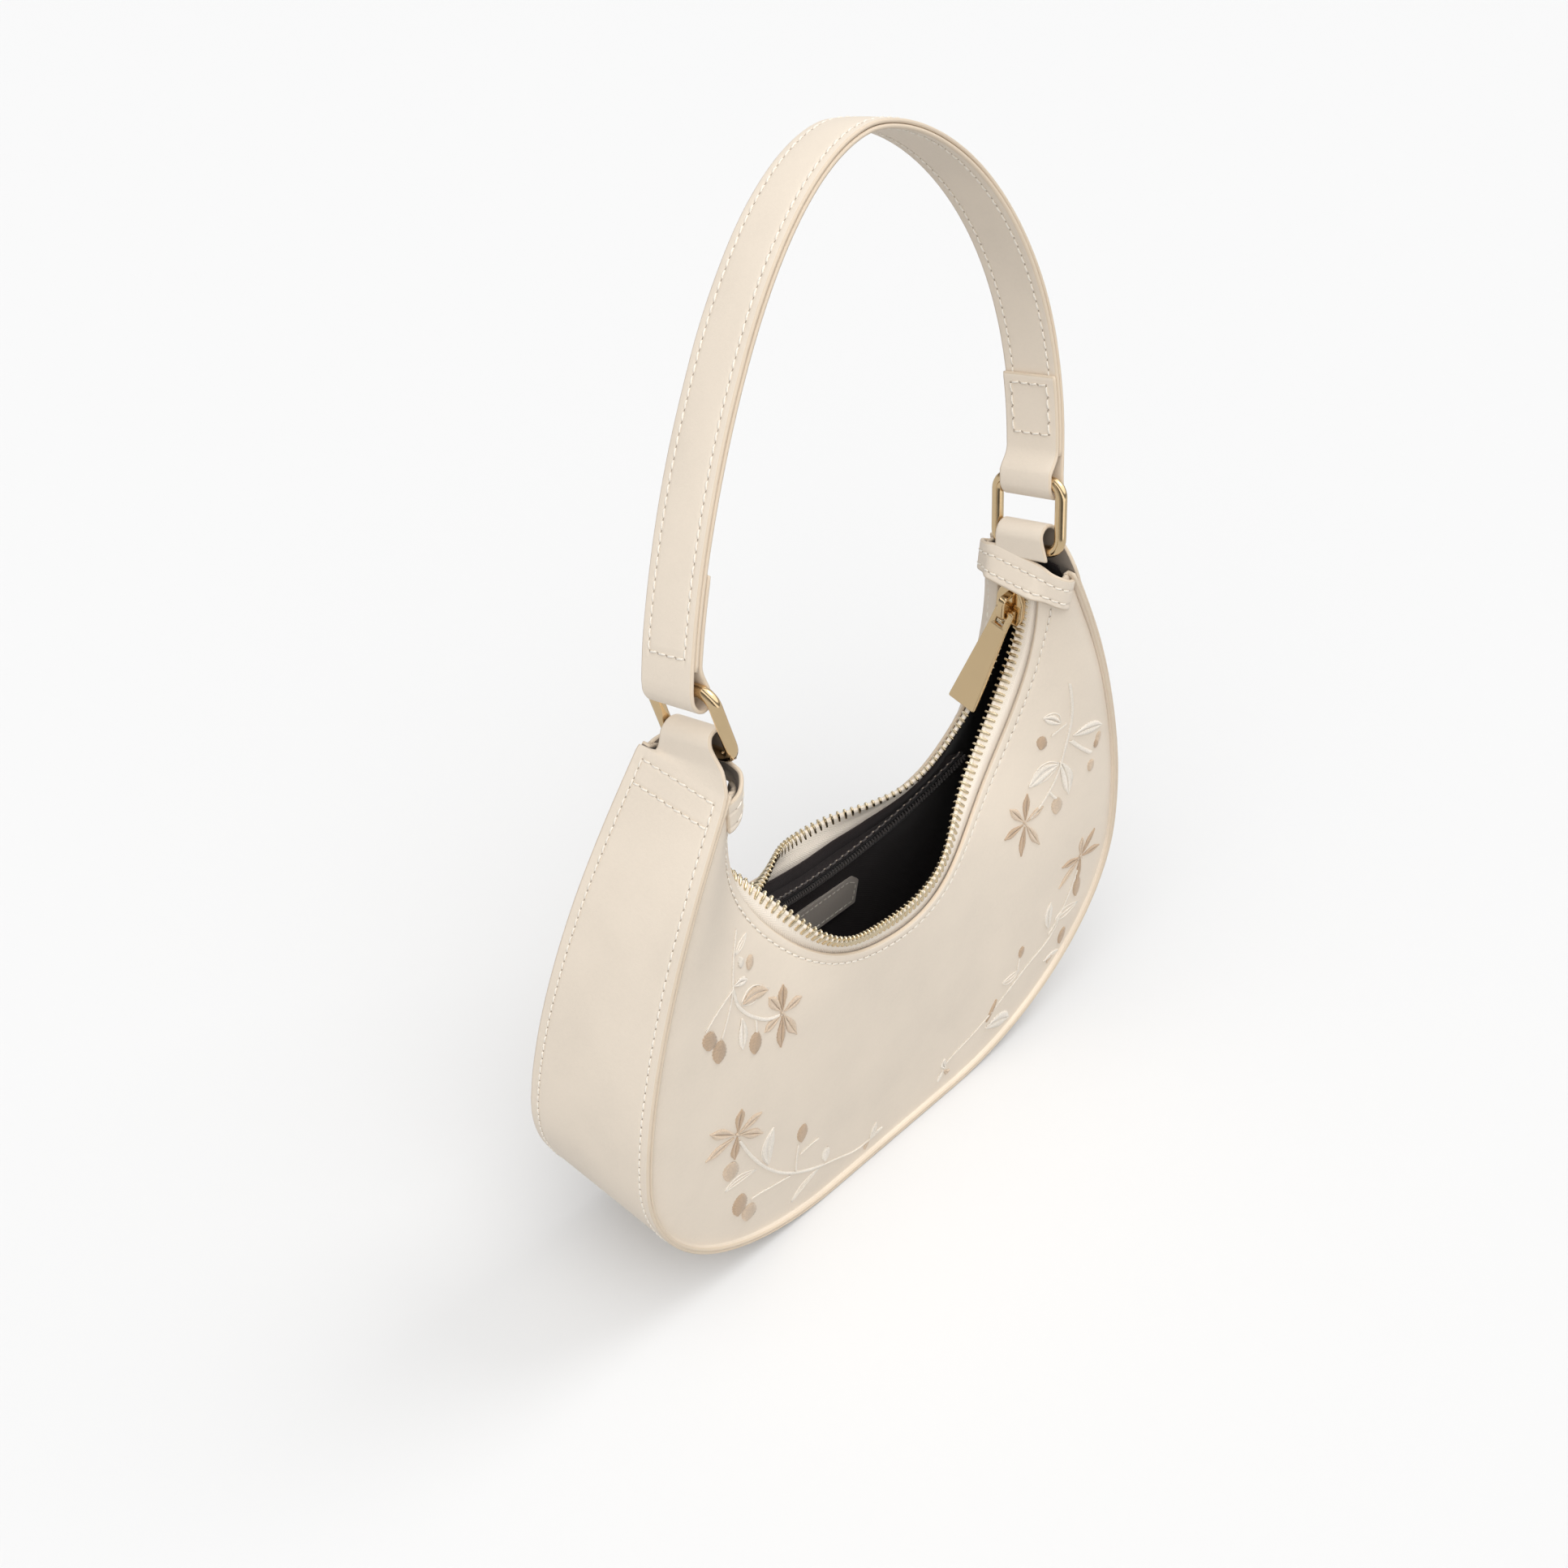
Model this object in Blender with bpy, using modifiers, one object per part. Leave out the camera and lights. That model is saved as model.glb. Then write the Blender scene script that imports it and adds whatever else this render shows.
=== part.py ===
"""Crescent top handle bag: two half-moon panels and one gusset strip, an open zip along the concave
mouth, two metal rings and a stitched strap handle, with the lining, board and inner pocket.
Metres, +Z up. The bag stands on the flat stretch of its gusset, width along X, front towards -Y."""
import math

import bmesh
import bpy
import numpy as np
from mathutils import Matrix, Vector

# Body outline, seen from the front
HALF_WIDTH = 0.125
WIDEST_HEIGHT = 0.076
FLAT_HALF = 0.034
SHOULDER_HEIGHT = 0.207
SHOULDER_INSET = 0.041
UPPER_CURVE_POWER = 1.8
FLAT_STEPS, LOWER_STEPS, UPPER_STEPS = 3, 12, 11

# Depth of the gusset, from the floor up to the shoulders
BOTTOM_HALF_DEPTH = 0.029
SHOULDER_HALF_DEPTH = 0.0173
DEPTH_SWELL = 0.0021

# Mouth: a circular arc, whose angles count from straight down, positive towards +X. It ends at the
# panel's tips, which stay this far in from and below the shoulders
TIP_ANGLE = math.radians(103)
TIP_LAND = 0.00995
TIP_DROP = 0.0049
ARC_RADIUS = (HALF_WIDTH - SHOULDER_INSET - TIP_LAND) / math.sin(TIP_ANGLE)
ARC_HEIGHT = SHOULDER_HEIGHT - TIP_DROP + ARC_RADIUS * math.cos(TIP_ANGLE)
EDGE_HALF_GAP = 0.0091
FRONT_BULGE, FRONT_BULGE_AT, FRONT_BULGE_REACH = 0.017, math.radians(-12), math.radians(40)
BACK_BULGE, BACK_BULGE_AT, BACK_BULGE_REACH = 0.013, math.radians(-4), math.radians(29)
BULGE_SHARPNESS = 3
# Towards the closed end of the zip the back panel turns over and comes nearer to the teeth
BACK_CLOSING = 0.0028
BACK_CLOSING_FROM = math.radians(42)
BACK_CLOSING_TO = math.radians(76)
BACK_TURN_POWER = 4.5
NORMAL_STEP_SHARE = 0.02
SHARP_ANGLE = math.radians(35)

# Thicknesses and the clearance between touching pieces
CLEARANCE = 0.0003
GUSSET_THICKNESS = 0.0014
PANEL_THICKNESS = 0.0012
STIFFENER_THICKNESS = 0.0006
LINING_THICKNESS = 0.0006
POUCH_THICKNESS = 0.0008
BASE_BOARD_THICKNESS = 0.0010
RIM_HEIGHT = 0.0025
PANEL_CROWN = 0.0020
DRAW_IN_POWER = 2.2
FACE_SHARES = (0.0, 0.22, 0.4, 0.6, 0.78, 0.88, 0.93, 1.0)
STIFFENER_SHARES = (0.05, 0.22, 0.4, 0.6, 0.78, 0.88)
LINING_SHARES = (0.03, 0.22, 0.4, 0.6, 0.78, 0.88, 0.99)
LINING_RISE_SHARE = 0.88
GUSSET_COLUMN_SHARES = (-1.0, -0.5, 0.0, 0.5, 1.0)

# Zip chain in the mouth
TAPE_THICKNESS = 0.0006
TAPE_SEAM_SHARE = 0.93
TAPE_FREE = 0.0063
TAPE_RISE = 0.0008
TILT_SMOOTHING = (-8, -4, 0, 4, 8)
# Degrees along the mouth, and how far the free tape is turned up there from lying across it
FRONT_TILT_ANGLES = (-80, -70, -56, -46, -36, -24, -12, 8, 20, 32, 44, 60, 70, 80)
FRONT_TILT_DEGREES = (0, 30, 88, 122, 132, 106, 90, 84, 90, 62, 50, 40, 18, 0)
BACK_TILT_ANGLES = (-80, -60, -40, -28, -20, -12, -4, 4, 12, 20, 28, 44, 60, 70, 80)
BACK_TILT_DEGREES = (0, 8, 14, 26, 56, 98, 128, 122, 92, 66, 52, 48, 42, 18, 0)
TOOTH_PITCH = 0.00254
TOOTH_REACH = 0.0016
TOOTH_THICKNESS = 0.0024
BEAD_DEPTH = 0.0009
CHAIN_STEP = math.radians(1)
STOP_LENGTH = 0.0028
STOP_WALL = 0.0008

# Slider and pull of the mouth's zip
SLIDER_FROM_TIP = 0.0113
SLIDER_ANGLE = TIP_ANGLE - SLIDER_FROM_TIP / ARC_RADIUS
SLIDER_LENGTH = 0.0165
SLIDER_HALF_WIDTH = 0.0055
SLIDER_PLATE = 0.0012
SLIDER_GAP = 0.0004
SLIDER_POST_HALF = 0.0007
SLIDER_POST_LENGTH = 0.0050
SLIDER_RUN_SHARES = (-1.0, -0.6, 0.2, 0.8, 1.0)
SLIDER_WIDTH_SHARES = (0.8, 1.0, 1.0, 0.65, 0.55)
BRIDGE_HALF_WIDTH = 0.0013
BRIDGE_HEIGHT = 0.0050
BRIDGE_WIRE = 0.0013
BRIDGE_LENGTH = 0.0095
PULL_LENGTH = 0.0385
PULL_HALF_WIDTH = 0.0054
PULL_NECK_HALF_WIDTH = 0.0036
PULL_THICKNESS = 0.0013
PULL_WINDOW_LENGTH = 0.0048
PULL_WINDOW_HALF_WIDTH = 0.0023
PULL_BAR = 0.0014
PULL_SLACK = 0.0006
PULL_LEAN = math.radians(17)
PULL_SKEW = math.radians(8)

# Tabs: the gusset's ends, narrowed to a tongue that loops over the ring's bar, and the sewn flap
NECK_HALF_WIDTH = 0.0150
NECK_HEIGHT = 0.0027
TONGUE_HALF_WIDTH = 0.0098
TONGUE_FORWARD = 0.0011
TONGUE_THICKNESS = 0.0014
TONGUE_LOOP_HALF = 0.0047
TONGUE_RISE = 0.0105
TONGUE_INSET = 0.011
TONGUE_INNER_X = HALF_WIDTH - SHOULDER_INSET - TONGUE_INSET
TONGUE_NOTCH_FRONT = math.radians(12)
TONGUE_NOTCH_BACK = math.radians(28)
TONGUE_ARC_STEPS = 8
FLAP_DROP = 0.0117
FLAP_LIFT = 0.0040
FLAP_CENTRE_SHARES = (-1.0, -0.5, 0.0, 0.5, 1.0)
FLAP_CENTRE_HALF = 0.0098
FLAP_ROW_SHARES = (0.0, 0.55, 1.0)
FLAP_END_FALL = 0.0045
FLAP_FRONT_SHARES = (0.4, 0.6, 0.78, 0.88, 0.93)
FLAP_BACK_SHARES = (0.88, 0.78, 0.6, 0.4)

# Rings
RING_WIRE_RADIUS = 0.0020
RING_LENGTH = 0.0230
RING_FORWARD = 0.0020
RING_HALF_WIDTH = 0.013
RING_CORNER = 0.0046
RING_CORNER_STEPS = 4
RING_SWING = math.radians(11)
RING_RISE = 0.0016

# Handle: a half ellipse in a plane that leans back, with a loop round each ring
HANDLE_LEAN = math.radians(15.5)
HANDLE_RISE = 0.1293
HANDLE_SWEEP = 0.0185
HANDLE_SWEEP_TURN = math.radians(102)
HANDLE_HALF_WIDTH = 0.0098
FACING_THICKNESS = 0.0013
BACKING_THICKNESS = 0.0011
LOOP_RADIUS = 0.0036
LOOP_DROP = 0.0014
LOOP_STEM = 0.0125
FOLD_LENGTH = 0.034
HANDLE_STEPS = 44
ARCH_FINE_STEPS = 720
LOOP_STEPS = 10
HANDLE_CURVE_POWER = 1.8

# Inner pocket on the back wall and the label patch under it
POCKET_HALF_ANGLE = math.radians(46)
POCKET_DROP = 0.0125
POCKET_RADIUS = ARC_RADIUS + POCKET_DROP
POUCH_SHARES = (0.30, 0.45, 0.6, 0.75, 0.86)
POUCH_STATION_SHARE = 0.40
POCKET_TAPE_HALF = 0.0060
POCKET_TAPE_THICKNESS = 0.0005
COIL_RADIUS = 0.0012
COIL_SIDES = 6
POCKET_STEPS = 26
SEARCH_STEPS = 20
POCKET_SLIDER_LENGTH = 0.0085
POCKET_SLIDER_HALF_WIDTH = 0.0036
POCKET_SLIDER_THICKNESS = 0.0012
POCKET_SLIDER_ANGLE = math.radians(-40)
POCKET_PULL_LENGTH = 0.018
POCKET_PULL_HALF_WIDTH = 0.0022
POCKET_PULL_THICKNESS = 0.0008
POCKET_BRIDGE_HEIGHT = 0.0024
POCKET_BRIDGE_WIRE = 0.0008
POCKET_BRIDGE_HALF_WIDTH = 0.0007
LABEL_HALF_LENGTH = 0.029
LABEL_HALF_HEIGHT = 0.007
LABEL_DROP = 0.0330
LABEL_HEIGHT = ARC_HEIGHT - ARC_RADIUS - LABEL_DROP
LABEL_THICKNESS = 0.0009
LABEL_POINT = 0.004
LABEL_STANDOFF = 0.0005

FRONT, BACK = -1, 1
LEFT, RIGHT = -1, 1


# Scene and materials

def clear_scene():
    for old in list(bpy.data.objects):
        bpy.data.objects.remove(old, do_unlink=True)


def new_collection(name):
    collection = bpy.data.collections.new(name)
    bpy.context.scene.collection.children.link(collection)
    return collection


def material(name, colour, roughness, metallic=0.0):
    made = bpy.data.materials.new(name)
    made.use_nodes = True
    shader = made.node_tree.nodes["Principled BSDF"]
    shader.inputs["Base Color"].default_value = (*colour, 1.0)
    shader.inputs["Roughness"].default_value = roughness
    shader.inputs["Metallic"].default_value = metallic
    return made


clear_scene()
BAG = new_collection("top_handle_bag")
LEATHER = material("cream_leather", (0.76, 0.66, 0.55), 0.75)
TEXTILE = material("black_lining", (0.008, 0.008, 0.009), 0.9)
BOARD = material("fibre_board", (0.45, 0.40, 0.33), 0.9)
TAPE = material("cream_tape", (0.80, 0.72, 0.60), 0.85)
BLACK_ZIP = material("black_coil", (0.012, 0.012, 0.014), 0.45)
GOLD = material("gold_metal", (0.83, 0.60, 0.28), 0.18, 1.0)
PALE_GOLD = material("pale_gold_teeth", (0.80, 0.66, 0.42), 0.3, 1.0)
BLACK_METAL = material("black_metal", (0.02, 0.02, 0.022), 0.35, 0.6)
LABEL = material("label_leather", (0.50, 0.45, 0.39), 0.6)


def add_object(name, mesh, finish):
    made = bpy.data.objects.new(name, mesh)
    mesh.materials.append(finish)
    BAG.objects.link(made)
    return made


def smooth(mesh):
    mesh.shade_smooth()
    mesh.set_sharp_from_angle(angle=SHARP_ANGLE)


# Generic shapes

def grid_mesh(name, rows):
    """A quad surface through equally long rows of points."""
    count = len(rows[0])
    points = [tuple(point) for row in rows for point in row]
    faces = [
        (r * count + c, r * count + c + 1, (r + 1) * count + c + 1, (r + 1) * count + c)
        for r in range(len(rows) - 1)
        for c in range(count - 1)
    ]
    mesh = bpy.data.meshes.new(name)
    mesh.from_pydata(points, [], faces)
    mesh.update()
    return mesh


def sheet(name, rows, thickness, towards, finish):
    """A surface through rows of points, thickened on the side that towards points to at the first face."""
    mesh = grid_mesh(name, rows)
    if mesh.polygons[0].normal.dot(Vector(towards)) < 0:
        mesh.flip_normals()
    smooth(mesh)
    made = add_object(name, mesh, finish)
    shell = made.modifiers.new("thickness", "SOLIDIFY")
    shell.thickness = thickness
    shell.offset = 1.0
    shell.use_even_offset = True
    return made


def loft(name, sections, finish):
    """A closed solid through closed sections with equal numbers of points, capped at both ends."""
    count = len(sections[0])
    shape = bmesh.new()
    loops = [[shape.verts.new(point) for point in section] for section in sections]
    for near, far in zip(loops, loops[1:]):
        for k in range(count):
            shape.faces.new((near[k], near[(k + 1) % count], far[(k + 1) % count], far[k]))
    shape.faces.new(loops[0])
    shape.faces.new(list(reversed(loops[-1])))
    bmesh.ops.recalc_face_normals(shape, faces=shape.faces)
    mesh = bpy.data.meshes.new(name)
    shape.to_mesh(mesh)
    shape.free()
    smooth(mesh)
    return add_object(name, mesh, finish)


def plate(name, outline, holes, thickness, finish):
    """A flat plate in its own XY plane from closed outlines, centred on the plane."""
    curve = bpy.data.curves.new(name, "CURVE")
    curve.dimensions = "2D"
    curve.fill_mode = "BOTH"
    curve.extrude = thickness / 2
    for ring in (outline, *holes):
        spline = curve.splines.new("POLY")
        spline.points.add(len(ring) - 1)
        for point, (x, y) in zip(spline.points, ring):
            point.co = (x, y, 0.0, 1.0)
        spline.use_cyclic_u = True
    raw = bpy.data.objects.new(name + "_curve", curve)
    BAG.objects.link(raw)
    bpy.context.view_layer.update()
    seen = raw.evaluated_get(bpy.context.evaluated_depsgraph_get())
    mesh = bpy.data.meshes.new_from_object(seen)
    bpy.data.objects.remove(raw, do_unlink=True)
    shape = bmesh.new()
    shape.from_mesh(mesh)
    bmesh.ops.remove_doubles(shape, verts=shape.verts, dist=CLEARANCE / 100)
    bmesh.ops.recalc_face_normals(shape, faces=shape.faces)
    shape.to_mesh(mesh)
    shape.free()
    mesh.name = name
    mesh.materials.clear()
    return add_object(name, mesh, finish)


def join_solids(name, pieces):
    """One solid out of overlapping ones."""
    base = pieces[0]
    for other in pieces[1:]:
        union = base.modifiers.new("join", "BOOLEAN")
        union.operation = "UNION"
        union.object = other
    bpy.context.view_layer.update()
    seen = base.evaluated_get(bpy.context.evaluated_depsgraph_get())
    mesh = bpy.data.meshes.new_from_object(seen)
    place = base.matrix_world.copy()
    finish = base.data.materials[0]
    for piece in pieces:
        bpy.data.objects.remove(piece, do_unlink=True)
    mesh.materials.clear()
    mesh.name = name
    joined = add_object(name, mesh, finish)
    joined.matrix_world = place
    return joined


def set_origin(made, matrix):
    """Moves the object's frame to matrix and leaves its shape where it is."""
    made.data.transform(matrix.inverted() @ made.matrix_world)
    made.matrix_world = matrix


# Outline, stations and the panels' curved faces

def lerp(a, b, share):
    return a + (b - a) * share


def bump(angle, centre, reach):
    """1 at the centre, a half at the reach on either side, then quickly 0."""
    return 0.5 ** (abs((angle - centre) / reach) ** BULGE_SHARPNESS)


def half_outline():
    """The right half of the outline, from the middle of the bottom up to the shoulder, as x and z."""
    points = [(FLAT_HALF * k / FLAT_STEPS, 0.0) for k in range(FLAT_STEPS)]
    for k in range(LOWER_STEPS):
        turn = math.pi / 2 * k / LOWER_STEPS
        points.append((
            FLAT_HALF + (HALF_WIDTH - FLAT_HALF) * math.sin(turn),
            WIDEST_HEIGHT * (1 - math.cos(turn)),
        ))
    for k in range(UPPER_STEPS + 1):
        share = k / UPPER_STEPS
        points.append((
            HALF_WIDTH - SHOULDER_INSET * share ** UPPER_CURVE_POWER,
            lerp(WIDEST_HEIGHT, SHOULDER_HEIGHT, share),
        ))
    return points


def make_outline():
    right = half_outline()
    left = [(-x, z) for x, z in reversed(right[1:])]
    return np.array(left + right)


OUTLINE = make_outline()
LAST = len(OUTLINE) - 1
TANGENTS = np.gradient(OUTLINE, axis=0)
TANGENTS /= np.linalg.norm(TANGENTS, axis=1)[:, None]
OUTWARDS = np.stack([TANGENTS[:, 1], -TANGENTS[:, 0]], axis=1)
STEP_LENGTHS = np.linalg.norm(np.diff(OUTLINE, axis=0), axis=1)
RUN_SHARES = np.concatenate([[0.0], np.cumsum(STEP_LENGTHS)]) / STEP_LENGTHS.sum()
MOUTH_ANGLES = -TIP_ANGLE + 2 * TIP_ANGLE * RUN_SHARES
SEAM_INSET = GUSSET_THICKNESS + CLEARANCE


def station_at(share):
    """The station nearest to a share of the way from the middle of the bottom to the right shoulder."""
    return int(np.argmin(np.abs(RUN_SHARES - (0.5 + share / 2))))


def half_depth(height):
    share = min(max(height / SHOULDER_HEIGHT, 0.0), 1.0)
    swell = DEPTH_SWELL * 4 * share * (1 - share)
    return lerp(BOTTOM_HALF_DEPTH, SHOULDER_HALF_DEPTH, share) + swell


def closing(angle, side):
    """How far the panel is turned over towards the zip's closed end, from 0 to 1."""
    if side == FRONT:
        return 0.0
    share = min(max((angle - BACK_CLOSING_FROM) / (BACK_CLOSING_TO - BACK_CLOSING_FROM), 0.0), 1.0)
    return share * share * (3 - 2 * share)


def mouth_half(angle, side):
    """How far the panel's edge stands from the middle plane, at an angle along the mouth."""
    if side == FRONT:
        return EDGE_HALF_GAP + FRONT_BULGE * bump(angle, FRONT_BULGE_AT, FRONT_BULGE_REACH)
    bulge = BACK_BULGE * bump(angle, BACK_BULGE_AT, BACK_BULGE_REACH)
    return EDGE_HALF_GAP + bulge - BACK_CLOSING * closing(angle, side)


def arc_point(angle, radius, y):
    return Vector((radius * math.sin(angle), y, ARC_HEIGHT - radius * math.cos(angle)))


def outline_point(i, inset, y):
    x, z = OUTLINE[i] - OUTWARDS[i] * inset
    return Vector((x, y, z))


def face_point(i, share, side):
    """The panel's inner surface, from its seam at 0 to the mouth's edge at 1."""
    angle = MOUTH_ANGLES[i]
    seam = outline_point(i, SEAM_INSET, 0.0)
    edge = arc_point(angle, ARC_RADIUS, 0.0)
    seam_depth = half_depth(seam.z) - RIM_HEIGHT - PANEL_THICKNESS
    power = lerp(DRAW_IN_POWER, BACK_TURN_POWER, closing(angle, side))
    depth = lerp(seam_depth, mouth_half(angle, side), max(share, 0.0) ** power)
    depth += PANEL_CROWN * 4 * share * (1 - share)
    point = seam.lerp(edge, share)
    point.y = side * depth
    return point


def inward(i, share, side):
    """The unit normal of the panel's face there, pointing into the bag."""
    before, after = max(i - 1, 0), min(i + 1, LAST)
    along = face_point(after, share, side) - face_point(before, share, side)
    low, high = max(share - NORMAL_STEP_SHARE, 0.0), min(share + NORMAL_STEP_SHARE, 1.0)
    across = face_point(i, high, side) - face_point(i, low, side)
    normal = along.cross(across).normalized()
    return normal if normal.y * side < 0 else -normal


def face_rows(side, shares, depth_of, first=0, last=LAST):
    """Rows of points at a depth under the panel's face; depth_of takes the share."""
    return [
        [
            face_point(i, share, side) + inward(i, share, side) * depth_of(share)
            for i in range(first, last + 1)
        ]
        for share in shares
    ]


STIFFENER_DEPTH = CLEARANCE
TAPE_DEPTH = CLEARANCE
EDGE_LINING_DEPTH = TAPE_DEPTH + TAPE_THICKNESS + CLEARANCE
POUCH_DEPTH = STIFFENER_DEPTH + STIFFENER_THICKNESS + CLEARANCE
WALL_LINING_DEPTH = {
    FRONT: STIFFENER_DEPTH + STIFFENER_THICKNESS + CLEARANCE,
    BACK: POUCH_DEPTH + POUCH_THICKNESS + CLEARANCE,
}


def lining_depth(side):
    """The lining lies on what is under it, and rises to the zip tape at the mouth."""
    def depth(share):
        rise = max(share - LINING_RISE_SHARE, 0.0) / (1 - LINING_RISE_SHARE)
        return lerp(WALL_LINING_DEPTH[side], EDGE_LINING_DEPTH, rise)
    return depth


# Body

def make_panel(name, side):
    """Half-moon panel, with its edge turned out along the gusset as the painted seam."""
    flange = [outline_point(i, SEAM_INSET, side * half_depth(OUTLINE[i][1])) for i in range(LAST + 1)]
    rows = [flange] + face_rows(side, FACE_SHARES, lambda share: 0.0)
    middle = LAST // 2
    inner = Vector(OUTLINE[0]) - Vector(OUTLINE[middle])
    towards = Vector((-inner.x, 0.0, -inner.y))
    return sheet(name, rows, PANEL_THICKNESS, towards, LEATHER)


def make_gusset():
    """One strip from neck to neck, its ends drawn in towards the tongues."""
    stations = []
    for i in range(LAST + 1):
        x, z = OUTLINE[i]
        stations.append((x, z, half_depth(z)))
    for side in (RIGHT, LEFT):
        x, z = OUTLINE[LAST]
        lean = TANGENTS[LAST] * NECK_HEIGHT
        neck = (side * (x + lean[0]), z + lean[1], NECK_HALF_WIDTH)
        if side == RIGHT:
            stations.append(neck)
        else:
            stations.insert(0, neck)
    rows = [[(x, share * half, z) for x, z, half in stations] for share in GUSSET_COLUMN_SHARES]
    return sheet("gusset", rows, GUSSET_THICKNESS, (1, 0, 0), LEATHER)


def make_gusset_lining():
    depth = SEAM_INSET
    rows = []
    for share in GUSSET_COLUMN_SHARES:
        row = []
        for i in range(LAST + 1):
            point = outline_point(i, depth, 0.0)
            fold = RIM_HEIGHT + PANEL_THICKNESS + WALL_LINING_DEPTH[BACK] + LINING_THICKNESS
            point.y = share * (half_depth(point.z) - fold - CLEARANCE)
            row.append(point)
        rows.append(row)
    return sheet("gusset_lining", rows, LINING_THICKNESS, (1, 0, 0), TEXTILE)


def make_base_board():
    """Board under the gusset lining, along the flat of the bottom."""
    inset = SEAM_INSET + LINING_THICKNESS + CLEARANCE
    fold = RIM_HEIGHT + PANEL_THICKNESS + WALL_LINING_DEPTH[BACK] + LINING_THICKNESS
    half = BOTTOM_HALF_DEPTH - fold - 4 * CLEARANCE
    rows = [[(x, y, inset) for x in (-FLAT_HALF, 0.0, FLAT_HALF)] for y in (-half, half)]
    return sheet("base_board", rows, BASE_BOARD_THICKNESS, (0, 0, 1), BOARD)


def make_body():
    make_panel("front_panel", FRONT)
    make_panel("back_panel", BACK)
    make_gusset()
    make_gusset_lining()
    make_base_board()
    for name, side in (("front", FRONT), ("back", BACK)):
        first = face_rows(side, STIFFENER_SHARES, lambda share: STIFFENER_DEPTH, 1, LAST - 1)
        into = inward(1, STIFFENER_SHARES[0], side)
        sheet(name + "_stiffener", first, STIFFENER_THICKNESS, into, BOARD)
        rows = face_rows(side, LINING_SHARES, lining_depth(side), 1, LAST - 1)
        into = inward(1, LINING_SHARES[0], side)
        sheet(name + "_lining", rows, LINING_THICKNESS, into, TEXTILE)


# Zip in the mouth

def tape_tilt(angle, side):
    """How far the free tape is turned up from lying across the mouth."""
    if side == FRONT:
        angles, degrees = FRONT_TILT_ANGLES, FRONT_TILT_DEGREES
    else:
        angles, degrees = BACK_TILT_ANGLES, BACK_TILT_DEGREES
    places = [math.degrees(angle) + shift for shift in TILT_SMOOTHING]
    return math.radians(float(np.mean(np.interp(places, angles, degrees))))


def tape_end(angle, side):
    """The tape's woven edge, where the teeth are clamped, and the direction that the tape runs in there."""
    tilt = tape_tilt(angle, side)
    radial = arc_point(angle, 1.0, 0.0) - arc_point(angle, 0.0, 0.0)
    across = Vector((0.0, -side, 0.0))
    direction = across * math.cos(tilt) - radial * math.sin(tilt)
    start = arc_point(angle, ARC_RADIUS - TAPE_RISE, side * mouth_half(angle, side))
    free = TAPE_FREE - BACK_CLOSING * closing(angle, side)
    return start + direction * free, direction


def make_tape(name, side):
    rows = [[], [], [], []]
    for i in range(LAST + 1):
        angle = MOUTH_ANGLES[i]
        end, direction = tape_end(angle, side)
        sewn = face_point(i, TAPE_SEAM_SHARE, side)
        sewn += inward(i, TAPE_SEAM_SHARE, side) * TAPE_DEPTH
        edge = face_point(i, 1.0, side) + inward(i, 1.0, side) * TAPE_DEPTH
        rows[0].append(sewn)
        rows[1].append(edge)
        rows[2].append(end - direction * (TAPE_FREE - BACK_CLOSING) / 2)
        rows[3].append(end - direction * BEAD_DEPTH)
    into = inward(0, 1.0, side)
    return sheet(name, rows, TAPE_THICKNESS, into, TAPE)


def chain_frame(angle, side):
    """Origin in the tape's woven edge, the way the teeth point, and the chain's own up direction."""
    end, direction = tape_end(angle, side)
    ahead, _ = tape_end(angle + CHAIN_STEP, side)
    behind, _ = tape_end(angle - CHAIN_STEP, side)
    run = (ahead - behind).normalized()
    direction = (direction - run * direction.dot(run)).normalized()
    up = direction.cross(run).normalized()
    return end, direction, up


def make_teeth(name, side):
    """One row of teeth on its bead, as a comb that follows the mouth."""
    count = int(2 * TIP_ANGLE * (ARC_RADIUS - TAPE_RISE) / TOOTH_PITCH)
    reach_angle = TIP_ANGLE - STOP_LENGTH / ARC_RADIUS
    sections = []
    for k in range(2 * count + 1):
        angle = lerp(-reach_angle, reach_angle, k / (2 * count))
        origin, direction, up = chain_frame(angle, side)
        is_tooth = k % 2 == 1
        tip = TOOTH_REACH if is_tooth else 0.0
        half = TOOTH_THICKNESS / 2 if is_tooth else TOOTH_THICKNESS / 4
        root = TAPE_THICKNESS / 2
        sections.append([
            origin - direction * root - up * half + up * root,
            origin + direction * tip - up * half + up * root,
            origin + direction * tip + up * half + up * root,
            origin - direction * root + up * half + up * root,
        ])
    return loft(name, sections, PALE_GOLD)


def make_zip_stop(name, angle, sides):
    """A staple across the end of one row, or of both."""
    reaches = [side * (EDGE_HALF_GAP - TAPE_FREE + STOP_WALL) for side in sides]
    if len(sides) == 1:
        reaches = [sides[0] * (EDGE_HALF_GAP - TAPE_FREE), sides[0] * CHAIN_MIDDLE_GAP]
    low, high = sorted(reaches)
    inner = ARC_RADIUS - TAPE_RISE - TOOTH_THICKNESS / 2
    outer = ARC_RADIUS - TAPE_RISE + TOOTH_THICKNESS / 2
    half_turn = STOP_LENGTH / 2 / ARC_RADIUS
    sections = [
        [
            arc_point(turn, inner, low), arc_point(turn, inner, high),
            arc_point(turn, outer, high), arc_point(turn, outer, low),
        ]
        for turn in (angle - half_turn, angle + half_turn)
    ]
    return loft(name, sections, PALE_GOLD)


CHAIN_MIDDLE_GAP = EDGE_HALF_GAP - TAPE_FREE - TOOTH_REACH


def sector(name, angles, radii, halves, finish):
    """A block along the mouth's arc: its radii are inner and outer, its half widths one per angle."""
    inner, outer = radii
    sections = [
        [
            arc_point(angle, inner, -half), arc_point(angle, inner, half),
            arc_point(angle, outer, half), arc_point(angle, outer, -half),
        ]
        for angle, half in zip(angles, halves)
    ]
    return loft(name, sections, finish)


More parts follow.
